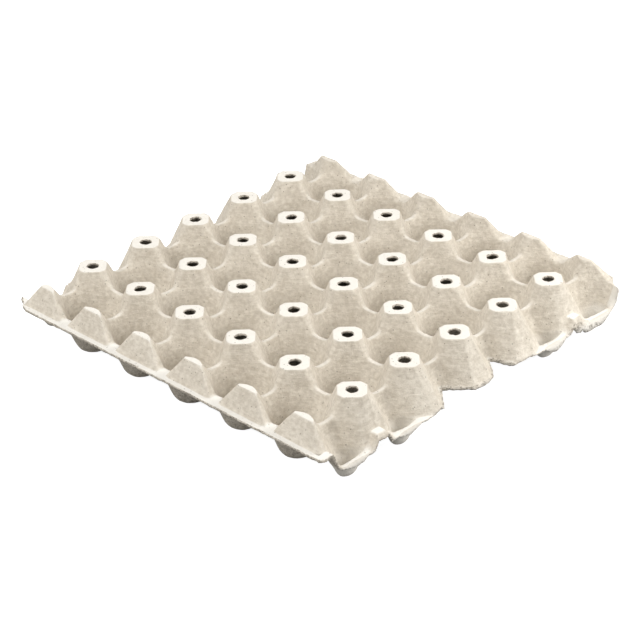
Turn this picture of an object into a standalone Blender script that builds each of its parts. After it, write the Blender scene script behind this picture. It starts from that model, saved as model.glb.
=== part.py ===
"""Moulded pulp egg tray: one sheet of formed pulp with thirty cups, posts, ridges and trimmed edges.

The rows of five cups run along X and the rows of six run along Y.
The tray stands on the undersides of its cups at Z = 0, with the middle of the tray on the Z axis.
"""
import math

import bmesh
import bpy
from mathutils import Vector

MM = 0.001

# Layout of the cups
CUPS_ALONG_X = 5
CUPS_ALONG_Y = 6
PITCH_X = 48.3 * MM
PITCH_Y = 47.0 * MM
MARGIN_CUPS_AT_EACH_END = 2

# Heights, and drops below the flat tops of the posts
TRAY_HEIGHT = 44.0 * MM
RIDGE_DROP = 12.0 * MM
FLANGE_DROP = 14.0 * MM
BUMP_DROP = 20.0 * MM
LIP_DROP = 28.0 * MM
PULP_THICKNESS = 1.8 * MM

# Posts between the cups: an octagonal top with a round hole
POST_TOP_WIDTH = 20.9 * MM
POST_TOP_SHORT_SIDE = 5.3 * MM
POST_HOLE_DIAMETER = 8.0 * MM

# Ridges between neighbouring posts
RIDGE_WIDTH = 3.2 * MM
RIDGE_LEVEL_LENGTH = 13.0 * MM

# Half posts along the two straight flanges, measured inwards from the last ridge line
HALF_POST_TOP_LENGTH = 17.0 * MM
HALF_POST_TOP_FRONT = 2.0 * MM
HALF_POST_TOP_SIDE = 5.4 * MM
HALF_POST_TOP_BACK = 9.4 * MM
FLANGE_INNER_EDGE = 3.6 * MM
FLANGE_LEVEL_LENGTH = 6.7 * MM
FLANGE_WIDTH = 6.8 * MM

# Cups: the round base where the walls begin, the rounding and the flat floor
CUP_WALL_FOOT_RADIUS = 11.6 * MM
CUP_WALL_FOOT_HEIGHT = 5.2 * MM
CUP_ROUNDING_RADIUS = 9.6 * MM
CUP_ROUNDING_HEIGHT = 1.5 * MM
CUP_FLOOR_RADIUS = 6.6 * MM

# Margins outside the end rows of posts, with small cups, lips, bumps and open notches
MARGIN_WIDTH = 26.8 * MM
LIP_WIDTH = 3.5 * MM
LIP_CORNER_WIDTH = 5.2 * MM
LIP_CORNER_FROM_POST = 12.0 * MM
LIP_END_AT_BUMP = 8.0 * MM
BUMP_LENGTH = 8.3 * MM
BUMP_WIDTH = 7.0 * MM
RIDGE_STEP_DROP = 5.0 * MM
RIDGE_STEP_WIDTH = 0.9 * MM
VALLEY_FROM_RIDGE = 8.2 * MM
VALLEY_WIDTH = 2.6 * MM
CORNER_SLOPE_LENGTH = 11.5 * MM
CORNER_CHAMFER = 3.0 * MM
CUT_CORNER_FROM_RIDGE = 10.0 * MM
CUT_CORNER_KNEE_FROM_RIDGE = 17.0 * MM
CUT_CORNER_KNEE_WIDTH = 4.5 * MM
MARGIN_CUP_FROM_RIDGE = 17.2 * MM
MARGIN_CUP_STRETCH = 1.6
MARGIN_CUP_FOOT_RADIUS = 4.5 * MM
MARGIN_CUP_FOOT_HEIGHT = 4.0 * MM
MARGIN_CUP_ROUNDING_RADIUS = 3.6 * MM
MARGIN_CUP_ROUNDING_HEIGHT = 1.3 * MM
MARGIN_CUP_FLOOR_RADIUS = 2.0 * MM
MARGIN_CUP_FLOOR_RISE = 2.4 * MM

# Trimmed outer ends of the posts: reach between two notches, and half lengths to either side
END_REACH_BETWEEN_NOTCHES = 24.6 * MM
END_BESIDE_LIP = 1.6 * MM
END_BEFORE_FIRST_NOTCH = 5.6 * MM
END_AFTER_NOTCH = 9.6 * MM
END_BEFORE_NEXT_NOTCH = 7.0 * MM
END_AFTER_LAST_NOTCH = 16.4 * MM

# Colour of the pulp
PULP_COLOUR = (0.63, 0.60, 0.54, 1.0)
PULP_ROUGHNESS = 0.95

# Worked out from the sizes above
POST_TOP_Z = TRAY_HEIGHT
RIDGE_Z = TRAY_HEIGHT - RIDGE_DROP
FLANGE_Z = TRAY_HEIGHT - FLANGE_DROP
BUMP_Z = TRAY_HEIGHT - BUMP_DROP
LIP_Z = TRAY_HEIGHT - LIP_DROP
FLOOR_Z = PULP_THICKNESS
HALF_X = PITCH_X / 2
HALF_Y = PITCH_Y / 2
LATTICE_X = CUPS_ALONG_X * HALF_X
LATTICE_Y = CUPS_ALONG_Y * HALF_Y
RIDGE_HALF = RIDGE_WIDTH / 2
LEVEL_HALF = RIDGE_LEVEL_LENGTH / 2
FLANGE_GAP_HALF = FLANGE_LEVEL_LENGTH / 2
POST_REACH = POST_TOP_WIDTH / 2
POST_FLAT = POST_TOP_SHORT_SIDE / 2
HOLE_RADIUS = POST_HOLE_DIAMETER / 2
HALF_POST_FOOT = HALF_X - FLANGE_GAP_HALF
LIP_INNER = MARGIN_WIDTH - LIP_WIDTH
BUMP_INNER = MARGIN_WIDTH - BUMP_LENGTH
MERGE_DISTANCE = 0.00001


def clear_scene():
    """Remove every object of the scene."""
    for thing in list(bpy.data.objects):
        bpy.data.objects.remove(thing, do_unlink=True)


def pulp_material():
    """Return the matt material of the pulp."""
    material = bpy.data.materials.new("moulded_pulp")
    material.use_nodes = True
    shader = material.node_tree.nodes["Principled BSDF"]
    shader.inputs["Base Color"].default_value = PULP_COLOUR
    shader.inputs["Roughness"].default_value = PULP_ROUGHNESS
    shader.inputs["Metallic"].default_value = 0.0
    return material


def add_face(sheet, place, points):
    """Add one face through points (u, v, z), each put in the tray by the function place."""
    sheet.faces.new([sheet.verts.new(place(*point)) for point in points])


def add_band(sheet, place, first, second):
    """Loft a band of faces between two rows with the same number of points."""
    for index in range(len(first) - 1):
        corners = (first[index], first[index + 1], second[index + 1], second[index])
        add_face(sheet, place, corners)


def between(start, end, share):
    """Return the point a share of the way from start to end."""
    return tuple(a + (b - a) * share for a, b in zip(start, end))


def arc(centre_u, centre_v, radius, z, angles, stretch=1.0):
    """Return points on a level circle, stretched along v, at angles in degrees."""
    points = []
    for angle in angles:
        turn = math.radians(angle)
        along_v = stretch * radius * math.sin(turn)
        points.append((centre_u + radius * math.cos(turn), centre_v + along_v, z))
    return points


def add_cup_bottom(sheet, place, rim, centre, rings, angles, stretch=1.0):
    """Loft a part of a cup from its rim down through round rings (radius, z) to its floor."""
    upper = rim
    for radius, z in rings:
        lower = arc(centre[0], centre[1], radius, z, angles, stretch)
        add_band(sheet, place, upper, lower)
        upper = lower
    add_face(sheet, place, [(centre[0], centre[1], upper[0][2])] + upper)


def post_top_quarter(is_half):
    """Return a quarter of a post's top as distances (u, v, z) from the post's middle.

    The first points face along v and the last along u. A half post's top is shorter, and ends
    at its front edge instead of its middle.
    """
    if is_half:
        return [
            (0.0, HALF_POST_TOP_BACK, POST_TOP_Z),
            (POST_FLAT, HALF_POST_TOP_BACK, POST_TOP_Z),
            (HALF_POST_TOP_LENGTH / 2, HALF_POST_TOP_SIDE, POST_TOP_Z),
            (HALF_POST_TOP_LENGTH / 2, HALF_POST_TOP_FRONT, POST_TOP_Z),
        ]
    return [
        (0.0, POST_REACH, POST_TOP_Z),
        (POST_FLAT, POST_REACH, POST_TOP_Z),
        (POST_REACH, POST_FLAT, POST_TOP_Z),
        (POST_REACH, 0.0, POST_TOP_Z),
    ]


def hole_quarter():
    """Return a quarter of a post's hole, in the same order as the post's top."""
    return arc(0.0, 0.0, HOLE_RADIUS, POST_TOP_Z, (90, 60, 30, 0))


def seen_from_cup(points):
    """Turn distances from a post's middle into distances from the middle of the cup."""
    return [(HALF_X - u, HALF_Y - v, z) for u, v, z in points]


def add_cup_quarter(sheet, place, at_flange):
    """Add the quarter of a cup between its middle (0, 0) and a post at (HALF_X, HALF_Y).

    At a flange the post is a half post, and the far side's ridge gives way to the flange.
    """
    side_u = HALF_X - RIDGE_HALF
    side_v = HALF_Y - (FLANGE_INNER_EDGE if at_flange else RIDGE_HALF)
    far_z = FLANGE_Z if at_flange else RIDGE_Z
    far_half = FLANGE_GAP_HALF if at_flange else LEVEL_HALF
    rim = [
        (side_u, 0.0, RIDGE_Z),
        (side_u, LEVEL_HALF, RIDGE_Z),
        (far_half, side_v, far_z),
        (0.0, side_v, far_z),
    ]
    rings = (
        (CUP_WALL_FOOT_RADIUS, FLOOR_Z + CUP_WALL_FOOT_HEIGHT),
        (CUP_ROUNDING_RADIUS, FLOOR_Z + CUP_ROUNDING_HEIGHT),
        (CUP_FLOOR_RADIUS, FLOOR_Z),
    )
    add_cup_bottom(sheet, place, rim, (0.0, 0.0), rings, (0, 30, 60, 90))

    top = seen_from_cup(post_top_quarter(at_flange))
    foot = [(HALF_X, LEVEL_HALF, RIDGE_Z), rim[1], rim[2], (far_half, HALF_Y, far_z)]
    add_band(sheet, place, foot, top)
    add_face(sheet, place, [rim[0], (HALF_X, 0.0, RIDGE_Z), foot[0], rim[1]])
    add_face(sheet, place, [rim[3], rim[2], foot[3], (0.0, HALF_Y, far_z)])
    if at_flange:
        add_half_post_front(sheet, place, top, foot[3])
    else:
        add_band(sheet, place, top, seen_from_cup(hole_quarter()))


def add_half_post_front(sheet, place, top, foot_corner):
    """Add a half post's top, its flat front and the stretch of flange before it."""
    crown = (HALF_X, HALF_Y - HALF_POST_TOP_FRONT, POST_TOP_Z)
    edge_v = HALF_Y + FLANGE_WIDTH
    base = (HALF_X, HALF_Y, FLANGE_Z)
    add_face(sheet, place, top + [crown])
    add_face(sheet, place, [foot_corner, base, crown, top[3]])
    inner = [(0.0, HALF_Y, FLANGE_Z), foot_corner, base]
    outer = [(u, edge_v, FLANGE_Z) for u, _, _ in inner]
    add_band(sheet, place, inner, outer)


def add_margin_ridge(sheet, place, top):
    """Add the outer half of the ridge in the end row of posts, its step and the wall below it.

    Return the step's corner and the valley's corner, from which the post's outer face is made.
    """
    ridge_end = HALF_Y - LEVEL_HALF
    step_u = RIDGE_HALF + RIDGE_STEP_WIDTH
    step_z = RIDGE_Z - RIDGE_STEP_DROP
    axis = (0.0, ridge_end, RIDGE_Z)
    corner = (RIDGE_HALF, ridge_end, RIDGE_Z)
    middle = (RIDGE_HALF, HALF_Y, RIDGE_Z)
    step = (step_u, ridge_end, step_z)
    step_middle = (step_u, HALF_Y, step_z)
    valley = (VALLEY_FROM_RIDGE, HALF_Y - VALLEY_WIDTH / 2, LIP_Z)
    valley_middle = (VALLEY_FROM_RIDGE, HALF_Y, LIP_Z)
    add_face(sheet, place, [axis, corner, top[1], top[0]])
    add_face(sheet, place, [axis, corner, middle, (0.0, HALF_Y, RIDGE_Z)])
    add_face(sheet, place, [corner, middle, step_middle, step])
    add_face(sheet, place, [step, step_middle, valley_middle, valley])
    add_face(sheet, place, [corner, step, top[1]])
    return step, valley


def add_margin_cup(sheet, place, valley, slope, lip_corner, lip_end):
    """Add the half of a margin's small cup, and its level lip, up to the cup's middle line."""
    lip_middle = (LIP_INNER, HALF_Y, LIP_Z)
    rim = [(VALLEY_FROM_RIDGE, HALF_Y, LIP_Z), valley, slope, lip_corner, lip_middle]
    floor_z = FLOOR_Z + MARGIN_CUP_FLOOR_RISE
    rings = (
        (MARGIN_CUP_FOOT_RADIUS, floor_z + MARGIN_CUP_FOOT_HEIGHT),
        (MARGIN_CUP_ROUNDING_RADIUS, floor_z + MARGIN_CUP_ROUNDING_HEIGHT),
        (MARGIN_CUP_FLOOR_RADIUS, floor_z),
    )
    centre = (MARGIN_CUP_FROM_RIDGE, HALF_Y)
    angles = (180, 210, 250, 300, 360)
    add_cup_bottom(sheet, place, rim, centre, rings, angles, MARGIN_CUP_STRETCH)
    add_face(sheet, place, [lip_middle, lip_corner, lip_end, (MARGIN_WIDTH, HALF_Y, LIP_Z)])


def add_margin_post_half(sheet, place, beside_bump, beside_cup, end_reach, end_half):
    """Add half of a whole post's outer side, from its middle (v = 0) to a cell's middle.

    beside_bump gives the post a flat-topped bump out to the edge. beside_cup fills the cell
    with a small cup and a lip, and otherwise the cell is an open notch. end_reach and end_half
    are the reach and the half length of the post's trimmed end, used where there is no bump.
    """
    top = post_top_quarter(False)
    add_band(sheet, place, top, hole_quarter())
    ridge_corner, valley = add_margin_ridge(sheet, place, top)
    if beside_bump:
        foot = (BUMP_INNER, BUMP_WIDTH / 2, BUMP_Z)
        foot_middle = (BUMP_INNER, 0.0, BUMP_Z)
        lip_end = (MARGIN_WIDTH, LIP_END_AT_BUMP, LIP_Z)
    else:
        foot = (end_reach, end_half, LIP_Z)
        foot_middle = (end_reach, 0.0, LIP_Z)
        lip_end = foot
    if beside_cup:
        lip_corner = (MARGIN_WIDTH - LIP_CORNER_WIDTH, LIP_CORNER_FROM_POST, LIP_Z)
    else:
        lip_corner = between(valley, foot, 2 / 3)
    slope = between(valley, lip_corner, 1 / 2)

    add_face(sheet, place, [top[3], top[2], foot, foot_middle])
    add_face(sheet, place, [top[2], foot, lip_corner])
    add_face(sheet, place, [top[1], top[2], lip_corner, slope])
    add_face(sheet, place, [top[1], slope, valley, ridge_corner])
    if beside_bump:
        edge_middle = (MARGIN_WIDTH, 0.0, BUMP_Z)
        edge = (MARGIN_WIDTH, BUMP_WIDTH / 2, BUMP_Z)
        add_face(sheet, place, [foot_middle, foot, edge, edge_middle])
        add_face(sheet, place, [foot, edge, lip_end, lip_corner])
    if beside_cup:
        add_margin_cup(sheet, place, valley, slope, lip_corner, lip_end)


def add_margin_corner(sheet, place, is_cut):
    """Add a corner of the tray: the outer side of the last half post, its cup and flange end.

    A cut corner is trimmed slantwise, from the flange to the rim above the small cup's lip.
    """
    top = post_top_quarter(True)
    ridge_corner, valley = add_margin_ridge(sheet, place, top)
    front = (0.0, HALF_POST_TOP_FRONT, POST_TOP_Z)
    add_face(sheet, place, top + [front])
    foot_inner = (HALF_POST_FOOT, FLANGE_INNER_EDGE, FLANGE_Z)
    foot_outer = (HALF_POST_FOOT, 0.0, FLANGE_Z)
    base = (0.0, 0.0, FLANGE_Z)
    add_face(sheet, place, [top[3], top[2], foot_inner, foot_outer])
    add_face(sheet, place, [front, top[3], foot_outer, base])

    rim_inner = (LIP_INNER, FLANGE_INNER_EDGE, FLANGE_Z)
    rim_outer = (MARGIN_WIDTH, FLANGE_INNER_EDGE, FLANGE_Z)
    lip_corner = (LIP_INNER, CORNER_SLOPE_LENGTH, LIP_Z)
    lip_end = (MARGIN_WIDTH, CORNER_SLOPE_LENGTH, LIP_Z)
    slope = between(valley, foot_inner[:2] + (LIP_Z,), 1 / 2)
    add_face(sheet, place, [top[1], slope, valley, ridge_corner])
    add_face(sheet, place, [top[1], top[2], foot_inner, slope])
    add_face(sheet, place, [foot_inner, rim_inner, lip_corner, slope])
    add_face(sheet, place, [rim_inner, rim_outer, lip_end, lip_corner])
    add_margin_cup(sheet, place, valley, slope, lip_corner, lip_end)

    if is_cut:
        outline = [
            (CUT_CORNER_KNEE_FROM_RIDGE, -CUT_CORNER_KNEE_WIDTH, FLANGE_Z),
            (CUT_CORNER_FROM_RIDGE, -FLANGE_WIDTH, FLANGE_Z),
        ]
    else:
        outline = [
            (MARGIN_WIDTH, CORNER_CHAMFER - FLANGE_WIDTH, FLANGE_Z),
            (MARGIN_WIDTH - CORNER_CHAMFER, -FLANGE_WIDTH, FLANGE_Z),
        ]
    flange_start = (0.0, -FLANGE_WIDTH, FLANGE_Z)
    level = [base, foot_outer, foot_inner, rim_inner, rim_outer]
    add_face(sheet, place, level + outline + [flange_start])


def add_cups(sheet):
    """Add the thirty cups with the posts, ridges and flanges between and beside them."""
    for column in range(CUPS_ALONG_X):
        middle_x = (column + 0.5) * PITCH_X - LATTICE_X
        for row in range(CUPS_ALONG_Y):
            middle_y = (row + 0.5) * PITCH_Y - LATTICE_Y
            for side_x in (-1, 1):
                for side_y in (-1, 1):
                    place = quarter_place(middle_x, middle_y, side_x, side_y)
                    last_row = CUPS_ALONG_Y - 1 if side_y > 0 else 0
                    add_cup_quarter(sheet, place, row == last_row)


def quarter_place(middle_x, middle_y, side_x, side_y):
    """Return the function that puts a quarter's point (u, v, z) in the tray."""
    return lambda u, v, z: Vector((middle_x + side_x * u, middle_y + side_y * v, z))


def margin_cell_is_cup(cell):
    """Tell whether a margin's cell holds a small cup, or is an open notch."""
    return min(cell, CUPS_ALONG_Y - 1 - cell) < MARGIN_CUPS_AT_EACH_END


def end_half_length(post, toward):
    """Return half the length of a post's trimmed end, on one side of the post's middle."""
    cup_before = margin_cell_is_cup(post)
    cup_after = margin_cell_is_cup(post + 1)
    if toward < 0:
        if cup_before:
            return END_BESIDE_LIP
        return END_AFTER_LAST_NOTCH if cup_after else END_AFTER_NOTCH
    if cup_after:
        return END_BESIDE_LIP
    return END_BEFORE_FIRST_NOTCH if cup_before else END_BEFORE_NEXT_NOTCH


def add_margin(sheet, end):
    """Add the margin outside the end row of posts at +X (end 1) or, turned round, at -X (end -1)."""
    for post in range(CUPS_ALONG_Y - 1):
        middle_y = (post + 1) * PITCH_Y - LATTICE_Y
        for toward in (-1, 1):
            place = margin_place(middle_y, toward, end)
            cell = post if toward < 0 else post + 1
            bump = margin_cell_is_cup(post) and margin_cell_is_cup(post + 1)
            between_notches = not margin_cell_is_cup(post) and not margin_cell_is_cup(post + 1)
            reach = END_REACH_BETWEEN_NOTCHES if between_notches else MARGIN_WIDTH
            length = end_half_length(post, toward)
            add_margin_post_half(sheet, place, bump, margin_cell_is_cup(cell), reach, length)
    for toward in (-1, 1):
        add_margin_corner(sheet, margin_place(-toward * LATTICE_Y, toward, end), toward < 0)


def margin_place(middle_y, toward, end):
    """Return the function that puts a margin's point in the tray: u outwards, v from the post."""
    return lambda u, v, z: Vector((end * (LATTICE_X + u), end * (middle_y + toward * v), z))


def make_tray(collection):
    """Make the tray: the open upper surface of the pulp, given its thickness below."""
    sheet = bmesh.new()
    add_cups(sheet)
    add_margin(sheet, 1)
    add_margin(sheet, -1)
    bmesh.ops.remove_doubles(sheet, verts=sheet.verts[:], dist=MERGE_DISTANCE)
    bmesh.ops.recalc_face_normals(sheet, faces=sheet.faces[:])
    if sum(face.normal.z * face.calc_area() for face in sheet.faces) < 0:
        bmesh.ops.reverse_faces(sheet, faces=sheet.faces[:])

    mesh = bpy.data.meshes.new("egg_tray")
    sheet.to_mesh(mesh)
    sheet.free()
    mesh.shade_smooth()
    mesh.set_sharp_from_angle(angle=math.radians(40))
    tray = bpy.data.objects.new("egg_tray", mesh)
    collection.objects.link(tray)
    tray.data.materials.append(pulp_material())

    wall = tray.modifiers.new("pulp_thickness", "SOLIDIFY")
    wall.thickness = PULP_THICKNESS
    wall.offset = -1.0
    wall.use_even_offset = True
    wall.use_quality_normals = True
    return tray


def main():
    """Build the tray in its own collection."""
    clear_scene()
    collection = bpy.data.collections.new("pulp_egg_tray")
    bpy.context.scene.collection.children.link(collection)
    make_tray(collection)


main()
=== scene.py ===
"""Looks of the moulded pulp egg tray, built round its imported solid.

The tray is one sheet of formed pulp. Its upper surface is lofted as a cage of quads: one cell for
the inner cups, one for the cups at a straight flange and one margin. Geometry Nodes set them out
and weld them, then the sheet gets its thickness, its soft rounding and its rough, trimmed look.
All sizes are in metres, in the frame of the solid.
"""
import logging
import math
from dataclasses import dataclass
from enum import Enum
from typing import Callable, Iterable, Sequence

import bmesh
import bpy
from mathutils import Matrix, Vector

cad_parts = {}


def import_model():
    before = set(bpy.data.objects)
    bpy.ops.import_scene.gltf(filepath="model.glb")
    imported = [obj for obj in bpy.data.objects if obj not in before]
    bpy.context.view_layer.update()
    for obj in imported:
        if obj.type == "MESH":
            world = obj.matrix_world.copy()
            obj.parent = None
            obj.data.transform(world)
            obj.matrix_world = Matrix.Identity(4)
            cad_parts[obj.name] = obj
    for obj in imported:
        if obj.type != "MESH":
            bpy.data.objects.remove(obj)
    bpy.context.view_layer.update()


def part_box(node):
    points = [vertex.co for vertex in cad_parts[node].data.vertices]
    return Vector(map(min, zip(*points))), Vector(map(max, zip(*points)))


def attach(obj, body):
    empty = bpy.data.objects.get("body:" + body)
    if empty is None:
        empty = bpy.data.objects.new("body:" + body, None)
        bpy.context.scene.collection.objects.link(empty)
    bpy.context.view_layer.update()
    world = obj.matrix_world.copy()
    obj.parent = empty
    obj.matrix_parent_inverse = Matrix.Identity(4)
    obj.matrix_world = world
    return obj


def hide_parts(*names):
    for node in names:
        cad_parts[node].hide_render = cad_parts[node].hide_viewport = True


MM = 0.001
TRAY_NODE = "egg_tray"
BODY = "root"
WELD_DISTANCE = 0.02 * MM
TRIMMED = "trimmed"
# Marks the ends of crisp edges, which the pulp's colour paints paler: a painted edge highlight,
# partly wear.
EDGE_WEAR_AND_HIGHLIGHT = "worn"

Point = tuple[float, float, float]
Row = list[Point]
Place = Callable[[float, float, float], Sequence[float]]

log = logging.getLogger("egg_tray")


class MarginCell(Enum):
    """What fills a cell of the margin."""

    SMALL_CUP = "small cup with a lip"
    NOTCH = "open notch"


class PostEnd(Enum):
    """How the outer side of a margin's post ends."""

    BUMP = "flat bump out to the edge"
    TRIMMED = "trimmed level with the lips"


# Shares of the way along a lofted face, with rows close to the edges that stay crisp
WALL_SHARES = (0.0, 0.05, 0.45, 1.0)
POST_SHARES = (0.0, 0.5, 0.88, 1.0)
FRONT_SHARES = (0.0, 0.1, 0.8, 1.0)
HOLE_SHARES = (0.25, 0.8, 1.0)
FLANGE_SHARES = (0.0, 0.17, 0.8, 1.0)
LIP_SHARES = (0.0, 0.22, 0.7, 1.0)
SMALL_WALL_SHARES = (0.0, 0.12, 0.55, 1.0)
THIRDS = (1 / 3, 2 / 3)
THIRDS_TO_END = (*THIRDS, 1.0)


def between(start: Point, end: Point, share: float) -> Point:
    """Return the point a share of the way from start to end."""
    return tuple(a + (b - a) * share for a, b in zip(start, end))


def along(start: Point, end: Point, shares: Iterable[float]) -> Row:
    """Return the points at the given shares of the way from start to end."""
    return [between(start, end, share) for share in shares]


def rows_between(first: Row, second: Row, shares: Iterable[float]) -> list[Row]:
    """Return the rows at the given shares of the way from the first row to the second."""
    return [[between(a, b, share) for a, b in zip(first, second)] for share in shares]


def level_arc(centre: tuple[float, float], radius: float, z: float,
              angles: Iterable[float], stretch: float = 1.0) -> Row:
    """Return points on a level circle or ellipse.

    Args:
        centre: The middle (u, v).
        radius: The radius along u.
        z: The height.
        angles: The angles of the points, in degrees.
        stretch: How many times longer the ellipse is along v.

    Returns:
        One point for each angle.
    """
    points = []
    for angle in angles:
        turn = math.radians(angle)
        u = centre[0] + radius * math.cos(turn)
        v = centre[1] + stretch * radius * math.sin(turn)
        points.append((u, v, z))
    return points


class Sheet:
    """An open sheet of faces, lofted from rows of points (u, v, z)."""

    def __init__(self) -> None:
        """Start with no faces, and with points placed as they are given."""
        self.mesh = bmesh.new()
        self.place: Place = lambda u, v, z: (u, v, z)

    def face(self, points: Iterable[Point]) -> None:
        """Add one face through the points."""
        self.mesh.faces.new([self.mesh.verts.new(self.place(*point)) for point in points])

    def loft(self, rows: Sequence[Row]) -> None:
        """Add a band of quads between each two neighbouring rows.

        Args:
            rows: Rows of equally many points.
        """
        for upper, lower in zip(rows, rows[1:]):
            for index in range(len(upper) - 1):
                self.face((upper[index], upper[index + 1], lower[index + 1], lower[index]))

    def bridge(self, left: Row, right: Row, matches: Sequence[tuple[int, int]]) -> None:
        """Fill between two columns of different lengths.

        Args:
            left: The points of the first column.
            right: The points of the second column.
            matches: Pairs of indices, one in each column, that a face's edge joins.
        """
        for (left_top, right_top), (left_foot, right_foot) in zip(matches, matches[1:]):
            down = left[left_top:left_foot + 1]
            up = right[right_top:right_foot + 1][::-1]
            self.face(down + up)

    def zip_closed(self, ring: Row) -> None:
        """Fill a half ring with quads.

        Args:
            ring: Its points, of which the first and the last lie on the middle line.
        """
        first, last = 0, len(ring) - 1
        while last - first > 3:
            self.face((ring[first], ring[first + 1], ring[last - 1], ring[last]))
            first += 1
            last -= 1
        self.face(ring[first:last + 1])

    def bowl(self, rim: Row, rings: Sequence[Row], centre: Point) -> None:
        """Loft from the rim down through the rings, and close the floor round its centre.

        Args:
            rim: The upper edge.
            rings: The rings below it, the floor's edge last.
            centre: The floor's middle.
        """
        self.loft([rim, *rings])
        floor = rings[-1]
        for index in range(len(floor) - 1):
            self.face((floor[index], floor[index + 1], centre))

    def finish(self, name: str) -> bpy.types.Object:
        """Weld the faces, turn them upwards and return them as an object.

        Args:
            name: The name of the object and of its mesh.

        Returns:
            The new object, linked to the scene.
        """
        bmesh.ops.remove_doubles(self.mesh, verts=self.mesh.verts[:], dist=WELD_DISTANCE)
        bmesh.ops.recalc_face_normals(self.mesh, faces=self.mesh.faces[:])
        if sum(face.normal.z * face.calc_area() for face in self.mesh.faces) < 0:
            bmesh.ops.reverse_faces(self.mesh, faces=self.mesh.faces[:])
        data = bpy.data.meshes.new(name)
        self.mesh.to_mesh(data)
        self.mesh.free()
        made = bpy.data.objects.new(name, data)
        bpy.context.scene.collection.objects.link(made)
        return made


@dataclass(frozen=True)
class TraySizes:
    """Sizes of the formed sheet. Heights are measured from what the tray stands on."""

    height: float
    margin_width: float
    flange_width: float
    pitch_x: float = 48.3 * MM
    pitch_y: float = 47.0 * MM
    cups_along_x: int = 5
    cups_along_y: int = 6
    margin_cups_at_each_end: int = 2
    thickness: float = 1.8 * MM

    ridge_drop: float = 12.0 * MM
    step_drop: float = 5.0 * MM
    flange_drop: float = 14.0 * MM
    bump_drop: float = 20.0 * MM
    lip_drop: float = 28.0 * MM

    ridge_half: float = 1.4 * MM
    level_half: float = 6.5 * MM
    post_reach: float = 10.45 * MM
    post_flat: float = 2.65 * MM
    hole_radius: float = 4.0 * MM

    half_post_length: float = 7.8 * MM
    half_post_front: float = 5.0 * MM
    half_post_side: float = 6.9 * MM
    half_post_back: float = 9.4 * MM
    crown_length_share: float = 0.82
    crown_width_share: float = 0.62
    flange_inner_edge: float = 3.6 * MM
    flange_gap_half: float = 3.35 * MM
    flange_foot_shift: float = 3.2 * MM

    foot_radius: float = 11.6 * MM
    foot_height: float = 5.2 * MM
    rounding_radius: float = 9.6 * MM
    rounding_height: float = 1.5 * MM
    floor_radius: float = 6.6 * MM

    @classmethod
    def from_solid(cls, low: Vector, high: Vector) -> "TraySizes":
        """Take the outside sizes from the solid's box.

        Args:
            low: The box's low corner.
            high: The box's high corner.

        Returns:
            The tray's sizes.
        """
        lattice_x = cls.cups_along_x * cls.pitch_x / 2
        lattice_y = cls.cups_along_y * cls.pitch_y / 2
        return cls(height=high.z - low.z, margin_width=high.x - lattice_x,
                   flange_width=high.y - lattice_y)

    @property
    def half_x(self) -> float:
        """Half the pitch along X."""
        return self.pitch_x / 2

    @property
    def half_y(self) -> float:
        """Half the pitch along Y."""
        return self.pitch_y / 2

    @property
    def lattice_x(self) -> float:
        """The last ridge line's distance from the middle, along X."""
        return self.cups_along_x * self.half_x

    @property
    def lattice_y(self) -> float:
        """The last ridge line's distance from the middle, along Y."""
        return self.cups_along_y * self.half_y

    @property
    def edge_x(self) -> float:
        """The outer edge's distance from the middle, along X."""
        return self.lattice_x + self.margin_width

    @property
    def ridge_z(self) -> float:
        """The height of the ridges."""
        return self.height - self.ridge_drop

    @property
    def flange_z(self) -> float:
        """The height of the straight flanges."""
        return self.height - self.flange_drop

    @property
    def bump_z(self) -> float:
        """The height of the margins' bumps."""
        return self.height - self.bump_drop

    @property
    def lip_z(self) -> float:
        """The height of the margins' lips."""
        return self.height - self.lip_drop

    def post_top(self, diagonal_shares: Iterable[float]) -> Row:
        """Return a quarter of a post's top, as distances from the post's middle.

        Args:
            diagonal_shares: Where the diagonal side is divided, both its ends left out.

        Returns:
            Points from the side that faces along v to the side that faces along u.
        """
        start = (self.post_flat, self.post_reach, self.height)
        end = (self.post_reach, self.post_flat, self.height)
        first = (0.0, self.post_reach, self.height)
        last = (self.post_reach, 0.0, self.height)
        return [first, start, *along(start, end, diagonal_shares), end, last]

    def half_post_top(self, diagonal_shares: Iterable[float]) -> Row:
        """Return half of a half post's top, as distances from the middle of its flange line.

        Args:
            diagonal_shares: Where the diagonal side is divided, both its ends left out.

        Returns:
            Points from the side that faces the cups, round to the middle of the front.
        """
        start = (self.post_flat, self.half_post_back, self.height)
        end = (self.half_post_length, self.half_post_side, self.height)
        corner = (self.half_post_length, self.half_post_front, self.height)
        front = (0.0, self.half_post_front, self.height)
        back = (0.0, self.half_post_back, self.height)
        diagonal = along(start, end, diagonal_shares)
        return [back, start, *diagonal, end, corner, *along(corner, front, THIRDS), front]

    def half_post_crown(self, top: Row) -> Row:
        """Return the row inside a half post's top edge that keeps the edge crisp.

        Args:
            top: The points of the top edge.

        Returns:
            One point for each of them.
        """
        middle_v = (self.half_post_front + self.half_post_back) / 2
        length, width = self.crown_length_share, self.crown_width_share
        return [(u * length, middle_v + (v - middle_v) * width, z) for u, v, z in top]


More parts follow.
